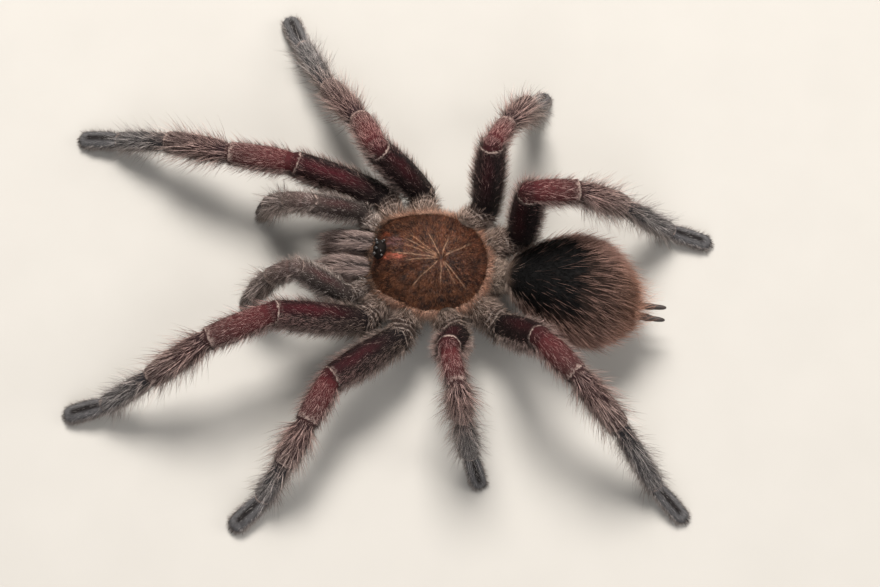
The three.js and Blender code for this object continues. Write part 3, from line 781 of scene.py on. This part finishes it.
def hair_mesh(roots, normals, lay, length, width, lift, bend, steps):
    """Points, triangles, and each point's hair, place along it and corner, for hairs in a number of steps."""
    count = len(roots)
    across = unit(np.cross(lay, normals))
    turn = rng.normal(0, 0.05, count)[:, None]
    spin = rng.uniform(0, math.tau, count)[:, None]

    def middle(t):
        bent = bend * 0.5 * t * t * np.sin(lift)
        ahead, up = t * np.cos(lift) + bent, t * np.sin(lift) - bent
        return roots + length * (ahead * lay + up * normals + turn * t * t * across)

    rows, tips = [], []
    for t in np.arange(steps) / steps:
        centre = middle(t) - (0.1 * normals if t == 0 else 0)
        forward = unit(middle(t + 0.05) - middle(t))
        side = unit(np.cross(forward, normals + 0.01))
        other = np.cross(forward, side)
        radius = width / 2 * (1 - 0.75 * t**1.5)
        for corner in range(3):
            a = spin + corner * math.tau / 3
            rows.append(centre + radius * (np.cos(a) * side + np.sin(a) * other))
            tips.append(np.full(count, t))
    points = np.stack([*rows, middle(1.0)], 1)
    tips = np.stack([*tips, np.ones(count)], 1)
    points[..., 2] = np.maximum(points[..., 2], HAIR_FLOOR_GAP)
    each, last = steps * 3 + 1, steps * 3 - 3
    sides = ((0, 1), (1, 2), (2, 0))
    faces = [(0, 2, 1)]
    for ring in range(0, last, 3):
        for a, b in sides:
            faces += [(ring + a, ring + b, ring + b + 3), (ring + a, ring + b + 3, ring + a + 3)]
    faces += [(last + a, last + b, each - 1) for a, b in sides]
    triangles = (np.arange(count)[:, None, None] * each + np.array(faces)).reshape(-1, 3)
    corner_of = np.tile([*np.tile(np.arange(3), steps), 1], count)
    return points.reshape(-1, 3), triangles, np.repeat(np.arange(count), each), tips.ravel(), corner_of


def coat_piece(name, groups, slot, finish):
    """One mesh of many hairs, from groups of their marks, their places on the UV map and their forms."""
    points, triangles, attributes, patches = [], [], {"tip": []}, []
    start = 0
    for marks, patch, form in groups:
        found, faces, owner, tip, corner = hair_mesh(*form)
        points.append(found)
        triangles.append(faces + start)
        start += len(found)
        spread = np.stack([0.8 * tip + 0.2 * (corner == 1) * (1 - tip), corner / 2 * (1 - tip) + tip / 2], 1)
        patches.append(patch[owner] + PATCH * spread)
        attributes["tip"].append(tip)
        for key, values in marks.items():
            attributes.setdefault(key, []).append(values[owner])
    points, triangles = np.concatenate(points), np.concatenate(triangles)
    mesh = bpy.data.meshes.new(name)
    mesh.vertices.add(len(points))
    mesh.loops.add(triangles.size)
    mesh.loops.foreach_set("vertex_index", triangles.astype(np.int32).ravel())
    mesh.polygons.add(len(triangles))
    mesh.polygons.foreach_set("loop_start", np.arange(0, triangles.size, 3, dtype=np.int32))
    put_points(mesh, points)
    mesh.update(calc_edges=True)
    patch_map = mesh.uv_layers.new(name="OFBake")
    patch_map.uv.foreach_set("vector", np.concatenate(patches)[triangles.ravel()].astype(np.float32).ravel())
    for key, values in attributes.items():
        put_attribute(mesh, key, np.concatenate(values))
    piece = bpy.data.objects.new(name, mesh)
    bpy.context.collection.objects.link(piece)
    finish_piece(piece, name, slot, finish)
    print(name, len(triangles), "triangles")


skin.data.calc_loop_triangles()
triangle_points = read(skin.data.loop_triangles, "vertices", 3, np.int32)
corners = points[triangle_points]
areas = np.linalg.norm(np.cross(corners[:, 1] - corners[:, 0], corners[:, 2] - corners[:, 0]), axis=1) / 2
triangle_part = part[triangle_points[:, 0]]


class Roots:
    """Places for hairs, with the skin's marks there."""

    def __init__(self, place, normal, lay, marks, patch):
        self.place, self.normal, self.lay, self.marks, self.patch = place, normal, lay, marks, patch

    def keep(self, mask):
        for name in ("place", "normal", "lay", "patch"):
            setattr(self, name, getattr(self, name)[mask])
        self.marks = {name: values[mask] for name, values in self.marks.items()}
        return self

    def hairs(self, length, width, lift, bend, steps, jitter, pale):
        """Hairs on these roots; each size is a number or one value a root, and lift is in degrees."""
        count = len(self.place)

        def each(value, share=1.0):
            return (np.full(count, value) * share)[:, None]

        level = unit(self.lay - self.normal * (self.lay * self.normal).sum(1)[:, None])
        turn = each(np.radians(jitter), rng.normal(0, 1, count))
        level = level * np.cos(turn) + np.cross(self.normal, level) * np.sin(turn)
        marks = {**self.marks, "chance": rng.random(count), "pale": np.full(count, pale)}
        lift = each(np.radians(lift), rng.uniform(0.75, 1.25, count))
        length = each(length, rng.uniform(0.7, 1.15, count))
        form = (self.place, self.normal, level, length, each(width), lift, each(bend), steps)
        return marks, 0.002 + 0.99 * self.patch, form


def roots_on(parts, count):
    """Roots spread evenly at random on some parts of the skin, but not under the back shield."""
    chosen = np.flatnonzero(np.isin(triangle_part, parts))
    share = areas[chosen] / areas[chosen].sum()
    pick = triangle_points[chosen[rng.choice(len(chosen), count, p=share)]]
    first, second = rng.random(count), rng.random(count)
    flip = first + second > 1
    first[flip], second[flip] = 1 - first[flip], 1 - second[flip]
    weights = np.stack([1 - first - second, first, second], 1)

    def blend(values):
        return (values[pick] * (weights if values.ndim == 1 else weights[..., None])).sum(1)

    marks = {name: blend(values) for name, values in MARKS.items()}
    run = marks["along"] * (SIXTH if parts[0] < ABDOMEN else 1)
    patch = np.stack([run, angle[pick[:, 0]] / math.tau + 0.5], 1).clip(0, 1)
    place = blend(points)
    forward, lateral = BODY_Y - place[:, 1], place[:, 0] - BODY_X
    covered = ((forward / 12.6) ** 2 + (lateral / 11.2) ** 2 < 1) & (place[:, 2] > HIP_Z)
    return Roots(place, unit(blend(normals)), blend(lay), marks, patch).keep(~covered)


def coat_finish(name, pale_stops):
    """The coat's material: the skin's markings, darker at the root, and paler on the long hairs."""
    finish = Finish(name)
    colour = marked_colour(finish)
    pale = finish.ramp(finish.times(finish.attribute("along"), SIXTH), pale_stops)
    pale = finish.over(pale, finish.attribute("feeler"), 0.7, paint(196, 186, 180))
    low = finish.times(finish.step(finish.attribute("topside"), 0.6, 0.1), finish.attribute("on_limb"))
    pale = finish.over(pale, low, 0.65, paint(164, 148, 138))
    colour = finish.mix(finish.attribute("pale"), colour, pale)
    finish.hair_surface(colour, finish.scaled(finish.attribute("chance"), 1.0, 0.5), 0.7, 0.5, 0.06)
    return finish


leg_coat = coat_finish("leg_coat", stops([
    (0, (216, 192, 176)), (0.95, (200, 174, 160)), (1.1, (150, 130, 120)), (1.5, (160, 132, 126)),
    (1.95, (174, 134, 130)), (2.2, (216, 170, 163)), (2.9, (222, 188, 180)), (3.2, (214, 178, 168)),
    (4.0, (222, 200, 190)), (4.3, (202, 192, 187)), (5.0, (196, 189, 186)), (5.9, (170, 165, 162)),
], SIXTH))

# For each segment from the hip out: length, lift and share of the velvet, of the hairs over it,
# and of the bristles, with the whiskers' length; then how many of the hairs over the velvet are pale.
VELVET = np.array([
    (1.0, 50, 0.6), (0.8, 7, 1), (0.7, 8, 1), (0.7, 10, 0.8), (0.75, 12, 0.8), (0.85, 22, 1),
])
OVER = np.array([
    (2.3, 48, 0.8), (1.5, 7, 0.8), (1.6, 8, 0.85), (2.3, 9, 1), (2.2, 10, 1), (1.2, 24, 0.7),
])
BRISTLES = np.array([
    (2.4, 60, 0.3, 2.4), (2.7, 42, 1, 3.3), (2.5, 38, 1, 3.5), (3.0, 36, 1, 6.2), (2.6, 38, 0.9, 5.6),
    (1.6, 45, 0.2, 2.0),
])
PALE_SHARE = np.array([0.46, 0.2, 0.62, 0.42, 0.5, 0.42])
PALE_KNEES, DULL_KNEES = (4, 6), (8, 9)  # limbs


def places(roots):
    """Each root's segment, its place along the limb, and its height round it."""
    place = roots.marks["along"]
    return np.floor(place).astype(int).clip(0, 5), place, roots.marks["topside"]


def limb_roots(number, count, share_of):
    """Roots on a limb, thinned by the share that share_of gives for their segment, place and height."""
    roots = roots_on([number], count)
    roots.keep(rng.random(len(roots.place)) < share_of(roots.marks["edge"], *places(roots)))
    return roots, *places(roots)


def cut_short(roots, length):
    """Lengths that leave the pale ring at a segment's far end in sight from above."""
    room = 0.3 + 0.8 * np.maximum(roots.marks["edge"] - 0.3, 0)
    return np.where(roots.marks["topside"] > -0.2, np.minimum(length, room), length)


def on_folds(place, high):
    return (place > 0.68) & (place < 1.0) & (high > -0.2)


def velvet_share(edge, order, place, high):
    return VELVET[order, 2] * np.where(on_folds(place, high), 0.3, 1)


def over_share(edge, order, place, high):
    on_pale_ring = (edge < 0.7) & (high > -0.3)
    share = OVER[order, 2] * ~on_pale_ring * np.where(on_folds(place, high), 0.2, 1)
    neck = np.where(order > 2, np.clip((place - order) / 0.12, 0.75, 1), 1)
    return share * neck * np.where((order == 5) & (high > 0.5), 0.3, 1)


def bristle_share(edge, order, place, high):
    from_above = np.where(high > 0.35, np.where((order == 3) | (order == 4), 0.4, 0.05), 1)
    over_ring = (edge < 1.8) & (high > 0)
    return BRISTLES[order, 2] * ~over_ring * from_above * ~on_folds(place, high)


def sole_share(edge, order, place, high):
    return (place > 4.4) & (high < 0.45)


def mostly_pale(count):
    return np.where(rng.random(count) < 0.7, 0.85, 0.2)


for number, name in enumerate(LIMB_NAMES):
    is_palp = name.startswith("palp")
    size, amount = (0.85, 0.65) if is_palp else (1.0, 1.0)
    roots, order, place, high = limb_roots(number, int(6300 * amount), velvet_share)
    low = np.clip(0.3 - high, 0, 1)
    velvet = roots.hairs(
        cut_short(roots, VELVET[order, 0] * (1 + 0.5 * low)), 0.12, VELVET[order, 1] + 22 * low,
        0.3, 1, np.where(order == 0, 60, 9), np.where(rng.random(len(order)) < 0.14 * (order != 1), 0.3, 0.0),
    )
    roots, order, place, high = limb_roots(number, int(18000 * amount), over_share)
    low = np.clip(0.5 - high, 0, 1)
    hip, thigh, knee = order == 0, order == 1, order == 2
    flank = thigh * (number in GREY_FLANKS) * np.clip(-0.15 - 1.6 * roots.marks["foreside"], 0, 1)
    share = PALE_SHARE[order] + 0.25 * is_palp * (order > 1) + 0.3 * thigh * np.clip(0.7 - high, 0, 1)
    share = share * (1 - 0.85 * roots.marks["darkness"] * thigh) * (1 - 0.5 * (number in DULL_KNEES) * knee)
    is_pale = rng.random(len(order)) < share + 0.7 * flank + 0.2 * (number in PALE_KNEES) * knee
    widening = np.where((order == 3) | (order == 4), 0.6 + 0.6 * (place - order), 1)
    length = OVER[order, 0] * size * widening * rng.uniform(0.65, 1.15, len(order)) * (1 + 0.25 * low)
    over = roots.hairs(
        cut_short(roots, length), np.where(hip, 0.1, 0.07), OVER[order, 1] * (0.8 + 1.0 * low) + 16 * flank,
        0.3, 1, np.where(hip, 30, 6 + 8 * flank),
        np.where(is_pale, rng.uniform(0.7, 1.0, len(order)), rng.uniform(0.0, 0.22, len(order))),
    )
    roots, order, place, high = limb_roots(number, int(7600 * amount), bristle_share)
    bristles = roots.hairs(
        BRISTLES[order, 0] * size * rng.uniform(0.5, 1.1, len(order)), 0.095,
        BRISTLES[order, 1] * (1.1 - 0.35 * high), 0.15, 1, 9, mostly_pale(len(order)),
    )
    roots, order, place, high = limb_roots(number, int(3200 * amount), bristle_share)
    whiskers = roots.hairs(
        BRISTLES[order, 3] * size * rng.uniform(0.6, 1.15, len(order)), 0.075, 46 - 8 * high,
        0.2, 2, 12, mostly_pale(len(order)),
    )
    roots, *_ = limb_roots(number, int(9000 * amount), sole_share)
    sole = roots.hairs(1.35, 0.13, 58, 0.2, 1, 20, 0.75)
    coat_piece(f"{name}_coat", [velvet, over, bristles, whiskers, sole], "leg_coat", leg_coat)

body_coat = coat_finish("body_coat", stops([
    (0, (204, 182, 166)), (0.01, (192, 170, 162)), (1, (192, 168, 160)),
]))
roots = roots_on([BODY], 13000)
fuzz = roots.hairs(2.4, 0.1, 58, 0.4, 1, 45, np.where(rng.random(len(roots.place)) < 0.5, 0.9, 0.15))
coat_piece("body_coat", [fuzz], "grey_coat", body_coat)
fuzz = roots_on([JAW, JAW + 1], 8000).hairs(0.9, 0.1, 16, 0.3, 1, 12, 0.1)
roots = roots_on([JAW, JAW + 1], 6500)
roots.keep(rng.random(len(roots.place)) < 0.15 + 0.85 * roots.marks["jaw_band"])
run = roots.marks["along"]
whiskers = roots.hairs(
    1.6 + 3.0 * run**2, 0.08, 18 + 14 * run, 0.3, 2, 9, np.where(rng.random(len(run)) < 0.66, 0.95, 0.2),
)
coat_piece("jaw_coat", [fuzz, whiskers], "grey_coat", body_coat)

abdomen_coat = coat_finish("abdomen_coat", stops([
    (0, (176, 158, 146)), (0.03, (150, 122, 112)), (0.08, (172, 136, 124)), (0.13, (190, 150, 136)),
    (SIXTH, (192, 146, 124)),
]))
velvet = roots_on([ABDOMEN], 16000).hairs(1.0, 0.13, 14, 0.3, 1, 14, 0.0)
coat_piece("abdomen_velvet", [velvet], "abdomen_coat", abdomen_coat)

# The long hair hardly grows on the black saddle, and grows thickly round and behind it.
roots = roots_on([ABDOMEN], 16500)
run, high, fore = (roots.marks[name] for name in ("along", "topside", "foreside"))
shift = 0.14 * (fore < 0) * (run > 0.5) - np.where(fore < 0, 0.3, 0.16) * np.clip((0.5 - run) / 0.2, 0, 1)
aside, behind = np.clip((0.74 + shift - high) / 0.45, 0, 1), np.clip((run - 0.52) / 0.36, 0, 1)
share = np.clip(0.05 + 0.75 * behind + 0.95 * aside, 0, 1) * (run > 0.02)
grown = rng.random(len(share)) < share
roots.keep(grown)
run, fore, aside = run[grown], fore[grown], aside[grown]
is_long = rng.random(len(run)) < 0.16
setae = roots.hairs(
    (2.8 + 0.8 * run + 2.4 * np.clip((run - 0.84) / 0.16, 0, 1)) * np.where(is_long, 1.6, 1.0), 0.07,
    11 + 17 * aside + 8 * is_long, 0.25, 2, 7,
    np.where(
        rng.random(len(run)) < 0.42 + 0.4 * aside + 0.3 * ((fore < -0.3) * (run > 0.4)),
        rng.uniform(0.65, 1.0, len(run)), 0.15,
    ),
)
coat_piece("abdomen_setae", [setae], "abdomen_coat", abdomen_coat)


# ---------- Back shield ----------

SHIELD_HALF, SHIELD_BASE, SHIELD_RIM = 13.0, 12.7, 0.9
FOVEA = -2.4
VELVET_DEPTH = 0.3
# Each ray's angle from straight ahead, to the left, and how far from the fovea it reaches in mm.
RAYS = {
    -141: 8.0, -100: 5.4, -56: 6.8, 53: 9.6, 98: 6.4, 138: 8.8, 126: 7.0, -30: 8.8, -20: 9.2, -11: 8.8,
    4: 11.0, 15: 8.0,
}
# Furrows, and the neck's two: angle, depth, width, and how far from the fovea they are at full depth.
GROOVES = [(ray, 0.22, 0.7, 2) for ray in (-141, -100, -56, 53, 98, 138)]
GROOVES += [(ray, 0.4, 0.9, 3) for ray in (-33, 33)]


def shield_half_width(forward):
    share = np.abs(forward) / SHIELD_HALF
    power = np.where(forward > 0, 10, 2.3)
    narrowing = np.where(forward > 0, 1 - 0.32 * share**1.4, 1)
    return 11.7 * narrowing * np.maximum(1 - share**power, 0) ** (1 / 2.1)


def shield_top(forward, lateral, outward):
    fullness = np.where(forward > 0, 2.6 + 2.2 * forward / SHIELD_HALF, 2.6)
    dome = 4.4 * (1 - outward**fullness)
    head = 1.3 * np.exp(-((forward - 8) / 5) ** 2 - (lateral / 5.5) ** 2) * (1 - outward**8)
    behind = forward - FOVEA
    pit = 1.2 * np.exp(-((behind / 0.7) ** 2) - (lateral / 1.3) ** 2)
    grooves = 0.0
    for ray, deep, wide, start in GROOVES:
        cosine, sine = math.cos(math.radians(ray)), math.sin(math.radians(ray))
        ahead, aside = behind * cosine + lateral * sine, lateral * cosine - behind * sine
        grooves = grooves + deep * np.exp(-((aside / wide) ** 2)) * np.clip(ahead / start, 0, 1)
    fade = np.clip((0.93 - outward) / 0.25, 0, 1) * (np.hypot(behind, lateral) > 0.1)
    return SHIELD_BASE + SHIELD_RIM + dome + head - pit - grooves * fade


def shield_surface(angle, outward):
    """Places on the shield's top, at the depth of its velvet."""
    forward = SHIELD_HALF * np.cos(angle)
    lateral = np.sign(np.sin(angle)) * shield_half_width(forward) * outward * 0.985
    forward = forward * outward * np.where(forward > 0, 1.01, 0.985)
    z = shield_top(forward, lateral, outward) - VELVET_DEPTH
    return np.stack([BODY_X + lateral, BODY_Y - forward, z], -1)


deselect_all()
bpy.ops.mesh.primitive_uv_sphere_add(segments=144, ring_count=96, radius=1)
shield = bpy.context.object
ball = mesh_points(shield.data) * MM
polar = np.arccos(np.clip(ball[:, 2], -1, 1)) / (math.pi / 2)
outward = np.where(polar <= 1, polar, 2 - polar)
formed = shield_surface(np.arctan2(ball[:, 1], ball[:, 0]), outward)
thin = SHIELD_BASE + 0.35 * (1 - outward**6)
round_off = 0.45 * np.clip((outward - 0.97) / 0.03, 0, 1) ** 2
formed[:, 2] = np.where(polar <= 1, formed[:, 2] - round_off * 0.6, thin)
put_points(shield.data, formed)
face_outwards(shield)

# The markings' places are in mm from the fovea.
shield_markings, nodes = new_group("Shield markings", {"Place": "Vector"}, Color="Color")
place = nodes.taken["Place"]
apart = nodes.add("SeparateXYZ", {"Vector": place}).outputs
lateral, ahead = apart["X"], nodes.times(apart["Y"], -1.0)
mottle = nodes.noise(place, 0.62, 6, 0.74)
fine = nodes.noise(place, 3.0, 3, 0.6)
colour = nodes.mix(nodes.step(mottle, 0.34, 0.68), paint(36, 20, 15), paint(120, 69, 47))
colour = nodes.over(colour, nodes.step(fine, 0.45, 0.62), 0.6, paint(30, 19, 15))
wobble = nodes.scaled(nodes.noise(place, 0.5, 1), 0.5, -0.25)
rays = 0.0
for ray, reach in RAYS.items():
    cosine, sine = math.cos(math.radians(ray)), math.sin(math.radians(ray))
    run = nodes.plus(nodes.times(ahead, cosine), nodes.times(lateral, sine))
    aside = nodes.math("SUBTRACT", nodes.times(lateral, cosine), nodes.times(ahead, sine))
    thin = nodes.step(nodes.math("ABSOLUTE", nodes.plus(aside, wobble)), 0.02, 0.19, 1.0, 0.0)
    rays = nodes.math("MAXIMUM", rays, nodes.times(thin, nodes.between(run, 0.9, reach - 0.8, 0.6)))
rays = nodes.times(rays, nodes.step(fine, 0.4, 0.65, 1.0, 0.45))
colour = nodes.over(colour, rays, 0.85, paint(200, 156, 126))

drawn_out = nodes.add("Mapping", {"Vector": place, "Scale": (2.2, 0.6, 1.0)}).outputs[0]
ragged_aside = nodes.plus(lateral, nodes.scaled(nodes.noise(drawn_out, 0.9, 3), 1.6, -0.8))
ragged_ahead = nodes.plus(ahead, nodes.scaled(nodes.noise(drawn_out, 1.1, 2), 5.0, -2.5))
streaks = nodes.step(nodes.noise(drawn_out, 1.8, 2), 0.4, 0.6)
bright = nodes.mix(streaks, paint(126, 66, 48), paint(224, 118, 92))
dull = nodes.mix(streaks, paint(66, 40, 38), paint(134, 92, 92))
# Ragged patches behind the eyes: from and to ahead, from and to the side, amount and colour.
for near, far, low, high, amount, tint in (
    (7.9, 12.8, 1.0, 2.2, 0.85, bright), (8.8, 12.2, -2.9, -0.7, 0.8, dull),
    (11.6, 13.0, -4.2, -3.3, 0.8, paint(176, 92, 64)),
):
    length = nodes.between(ragged_ahead, near, far, 0.7)
    blotch = nodes.times(length, nodes.between(ragged_aside, low, high, 0.25))
    colour = nodes.over(colour, blotch, amount, tint)
wide = nodes.math("ABSOLUTE", lateral)
# Its golden left, painted shade on its right in front, its front corners and its brow.
for first, second, amount, tint in (
    (nodes.step(lateral, 2.5, 8.5), nodes.step(mottle, 0.4, 0.62), 0.5, (144, 94, 62)),
    # painted shade: the shield's right side in front is darkened
    (nodes.step(lateral, -3.0, -7.0), nodes.step(ahead, 1.0, 8.0), 0.35, (40, 24, 18)),
    (nodes.step(ahead, 11.0, 14.2), nodes.step(wide, 2.8, 4.4), 0.6, (40, 24, 16)),
    (nodes.step(ahead, 14.2, 14.8), nodes.step(wide, 3.0, 5.5, 1.0, 0.0), 0.8, (116, 100, 90)),
):
    colour = nodes.over(colour, nodes.times(first, second), amount, paint(*tint))
nodes.put(colour, nodes.given["Color"])

fovea_place = body_point(FOVEA, 0, 0)
finish = Finish("shield")
place = finish.add("Mapping", {
    "Vector": finish.object_place(),
    "Scale": (1000, 1000, 1000), "Location": tuple(-fovea_place),
}).outputs[0]
strands = finish.noise(place, 5.0, 3, 0.7)
shade = finish.ramp(strands, [(0.35, (0.4, 0.4, 0.4, 1)), (0.7, (1, 1, 1, 1))])
colour = finish.add("Group", {"Place": place}, node_tree=shield_markings).outputs["Color"]
finish.surface(finish.shaded(colour, shade), 0.5, 0.3)
finish.bump(strands, 0.7, 0.0002)
finish_piece(shield, "back_shield", "carapace", finish, "carapace")


def shield_roots(count, inner, outer, fringe):
    """Roots on the shield between two shares of its radius, with hairs that lie outwards from the fovea.

    Those of its fringe have a colour of their own: 0.5 is grey, 1 is pink."""
    at = rng.uniform(-math.pi, math.pi, count)
    out = np.sqrt(rng.uniform(inner**2, outer**2, count))
    place = shield_surface(at, out)
    step = 0.01
    wider = shield_surface(at, np.minimum(out + step, 1.0)) - shield_surface(at, out - step)
    round_it = shield_surface(at + step, out) - shield_surface(at - step, out)
    normal = unit(np.cross(wider, round_it))
    marks = {"root": place - fovea_place, "fringe": np.full(count, fringe)}
    patch = np.stack([out, at / math.tau + 0.5], 1).clip(0, 1)
    return Roots(place, normal * np.sign(normal[:, 2:]), unit(place - body_point(FOVEA, 0, 16)), marks, patch)


finish = Finish("shield_coat")
root = finish.attribute("root", "Vector")
fringe, chance = finish.attribute("fringe"), finish.attribute("chance")
colour = finish.add("Group", {"Place": root}, node_tree=shield_markings).outputs["Color"]
patchy = finish.step(finish.noise(root, 0.6, 2), 0.35, 0.65)
pink = finish.mix(patchy, paint(194, 144, 120), paint(240, 194, 170))
root_ahead = finish.times(finish.add("SeparateXYZ", {"Vector": root}).outputs["Y"], -1.0)
pink = finish.mix(finish.step(root_ahead, 10.5, 13.5), pink, paint(112, 94, 84))
fringe_colour = finish.mix(finish.step(fringe, 0.6, 0.9), paint(168, 152, 140), pink)
colour = finish.mix(finish.step(fringe, 0.1, 0.4), colour, fringe_colour)
colour = finish.over(colour, finish.step(chance, 0.8, 0.86), 0.42, paint(168, 118, 88))
finish.hair_surface(colour, finish.scaled(finish.math("POWER", chance, 2.6), 1.5, 0.3), 0.6, 0.6, 0.07)
velvet = shield_roots(27000, 0.03, 0.985, 0.0).hairs(0.75, 0.085, 20, 0.3, 1, 26, 0.0)
roots = shield_roots(6000, 0.94, 1.0, 1.0)
fringe = roots.hairs(rng.uniform(1.0, 3.1, 6000), 0.07, rng.uniform(0, 46, 6000), 0.2, 1, 34, 0.0)
roots = shield_roots(5200, 0.985, 1.0, 0.5)
roots.place[:, 2] -= 0.45
grey_fringe = roots.hairs(rng.uniform(2.2, 4.2, 5200), 0.085, rng.uniform(-20, 14, 5200), 0.1, 1, 34, 0.0)
coat_piece("shield_coat", [velvet, fringe, grey_fringe], "carapace", finish)


# ---------- Eyes on their mound ----------

MOUND_FORWARD = 10.9


def black_gloss(name, red, green, blue, roughness, coat):
    """Dark horn or glassy shell, very finely uneven."""
    finish = Finish(name)
    place = finish.object_place()
    cloud = finish.noise(place, 900, 3)
    colour = paint(red, green, blue)
    lighter = tuple(min(c * 1.8 + 0.004, 1) for c in colour[:3]) + (1.0,)
    uneven = finish.step(cloud, 0.2, 0.8, roughness * 0.8, roughness * 1.3)
    finish.surface(finish.mix(cloud, colour, lighter), uneven, 0.5 if coat else 0.08)
    finish.put(coat, finish.sockets["Coat Weight"])
    finish.put(0.06, finish.sockets["Coat Roughness"])
    finish.bump(finish.noise(place, 3500, 2), 0.15, 0.00005)
    return finish


mound = swept("eye_mound", [
    (15.8, 2.15, 1.55, 0, 0), (16.8, 2.1, 1.5, 0, 0), (17.6, 2.0, 1.42, 0, 0), (18.2, 1.84, 1.28, 0, 0),
    (18.7, 1.54, 1.05, 0, 0), (19.05, 1.15, 0.76, 0, 0), (19.25, 0.64, 0.42, 0, 0), (19.32, 0.2, 0.12, 0, 0),
], 36)
place_at(mound, body_point(MOUND_FORWARD, 0, 0))
apply_modifier(mound, "SUBSURF", levels=1, render_levels=1)

# Each eye's place ahead of the mound's middle, to the side and above the floor, and its width.
EYES = {
    "eye_front_middle": (0.62, 0.62, 19.25, 0.8),
    "eye_front_side": (0.95, 1.52, 18.35, 0.86),
    "eye_rear_middle": (-0.42, 1.05, 19.1, 0.6),
    "eye_rear_side": (-0.66, 1.7, 18.3, 0.7),
}
eye_glass = black_gloss("eye_glass", 8, 6, 6, 0.1, 0.3)
eye_pearl = black_gloss("eye_pearl", 26, 20, 18, 0.12, 0.3)
rims = []
for name, (forward, lateral, z, across) in EYES.items():
    for side in (RIGHT, LEFT):
        middle = body_point(MOUND_FORWARD + forward, side * lateral, z)
        facing = unit(middle - body_point(MOUND_FORWARD, 0, 16.6))
        turn = Vector(facing).to_track_quat("Z", "Y").to_matrix().to_4x4()
        half = across / 2
        eye = swept(name, [
            (half * math.sin(a), half * math.cos(a), half * math.cos(a), 0, 0)
            for a in np.radians([-80, -60, -40, -20, 0, 15, 30, 45, 58, 70, 80, 87])
        ])
        place_at(eye, middle, turn)
        eye_name = f"{name}_{SIDE_NAME[side]}"
        shell = eye_glass if name == "eye_front_middle" else eye_pearl
        finish_piece(eye, "ball_of_" + eye_name, "eye", shell, eye_name)
        deselect_all()
        bpy.ops.mesh.primitive_torus_add(
            major_radius=half * 1.02, minor_radius=half * 0.2, major_segments=28, minor_segments=10,
        )
        rims.append(bpy.context.object)
        place_at(rims[-1], middle - facing * half * 0.12, turn)
mound_black = black_gloss("mound_black", 18, 13, 11, 0.8, 0.0)
finish_piece(join([mound, *rims]), "ocular_mound", "eye_mound", mound_black, "eye_mound")


# ---------- Fangs, claws and spinnerets ----------

FANG_FORWARD, FANG_Z, FANG_RADIUS, FANG_FROM, FANG_TO = 18.4, 8.2, 4.4, -15, -130
horn = black_gloss("black_horn", 24, 16, 13, 0.22, 0.5)
for side in (RIGHT, LEFT):
    stations = []
    for along in np.linspace(0, 1, 15):
        thick = 1.0 - 0.72 * along**1.2
        stations.append((along, thick * (1 if along < 1 else 0.3), thick, 0, 0))
    fang = swept("fang", stations, 20)
    x, y, run = mesh_points(fang.data).T * MM
    at = np.radians(FANG_FROM + (FANG_TO - FANG_FROM) * run)
    arm = FANG_RADIUS + y
    put_points(fang.data, np.stack([
        BODY_X + side * (JAW_OUT - 0.6 * run) + x,
        BODY_Y - (FANG_FORWARD + arm * np.cos(at)),
        FANG_Z + arm * np.sin(at),
    ], 1))
    face_outwards(fang)
    finish_piece(fang, f"curved_fang_{SIDE_NAME[side]}", "fang", horn, f"fang_{SIDE_NAME[side]}")

finish = Finish("spinneret_dark")
grain = finish.noise(finish.object_place(), 2500, 3)
finish.surface(finish.mix(grain, paint(18, 14, 13), paint(58, 44, 38)), 0.6)
finish.bump(grain, 0.6, 0.0001)
# Three joints, each slimmer than the last: places along the spinneret, and thicknesses there.
SPINNERET_FORM = (
    (-0.25, 0.9), (-0.02, 1), (0.15, 1.04), (0.3, 1.0), (0.34, 0.86), (0.38, 0.9), (0.5, 0.93), (0.62, 0.86),
    (0.66, 0.7), (0.7, 0.74), (0.82, 0.7), (0.92, 0.55), (0.98, 0.34), (1, 0.12),
)
for name, outwards, lateral, z, length, width in (
    ("long_right", RIGHT, 1.6, 8.7, 7.8, 1.8), ("long_left", LEFT, 4.0, 8.7, 7.8, 1.8),
    ("short", 0, 2.8, 6.6, 4.6, 1.4),
):
    half = width / 2 - 0.1
    piece = swept("spinneret", [(at, half * thick, half * thick, 0, 0) for at, thick in SPINNERET_FORM], 20)
    place_on(piece, body_point(-44.0, lateral, z), np.array([0.03 * outwards, 1, 0.1]), (1, 1, length))
    finish_piece(piece, f"spinning_tube_{name}", "spinneret", finish, "spinneret_" + name)

claws = []
for limb in LIMBS:
    foot = limb[-1]
    tip = foot.start + foot.direction * foot.length * 0.97
    for side in (RIGHT, LEFT):
        claw = swept("claw", [
            (along, 0.13 * (1 - along) + 0.02, 0.2 * (1 - along) + 0.02, 0, -0.55 * along**2)
            for along in np.linspace(0, 1, 7)
        ], 10)
        place_on(claw, tip + foot.across * side * 0.45 + foot.upward * 0.1, foot.direction, (1, 1, 1.5))
        low_point = min(v.co.z for v in claw.data.vertices)
        claw.data.transform(Matrix.Translation((0, 0, max(HAIR_FLOOR_GAP * MM - low_point, 0))))
        claws.append(claw)
finish_piece(join(claws), "claws", "fang", horn)


# ---------- Floor ----------

deselect_all()
bpy.ops.mesh.primitive_plane_add(size=3)
floor = bpy.context.object
floor.name = "floor"
finish = Finish("pale_floor")
grain = finish.noise(finish.object_place(), 60, 3)
finish.surface(finish.mix(grain, paint(172, 168, 162), paint(178, 174, 168)), 0.8)
floor.data.materials.append(finish.material)
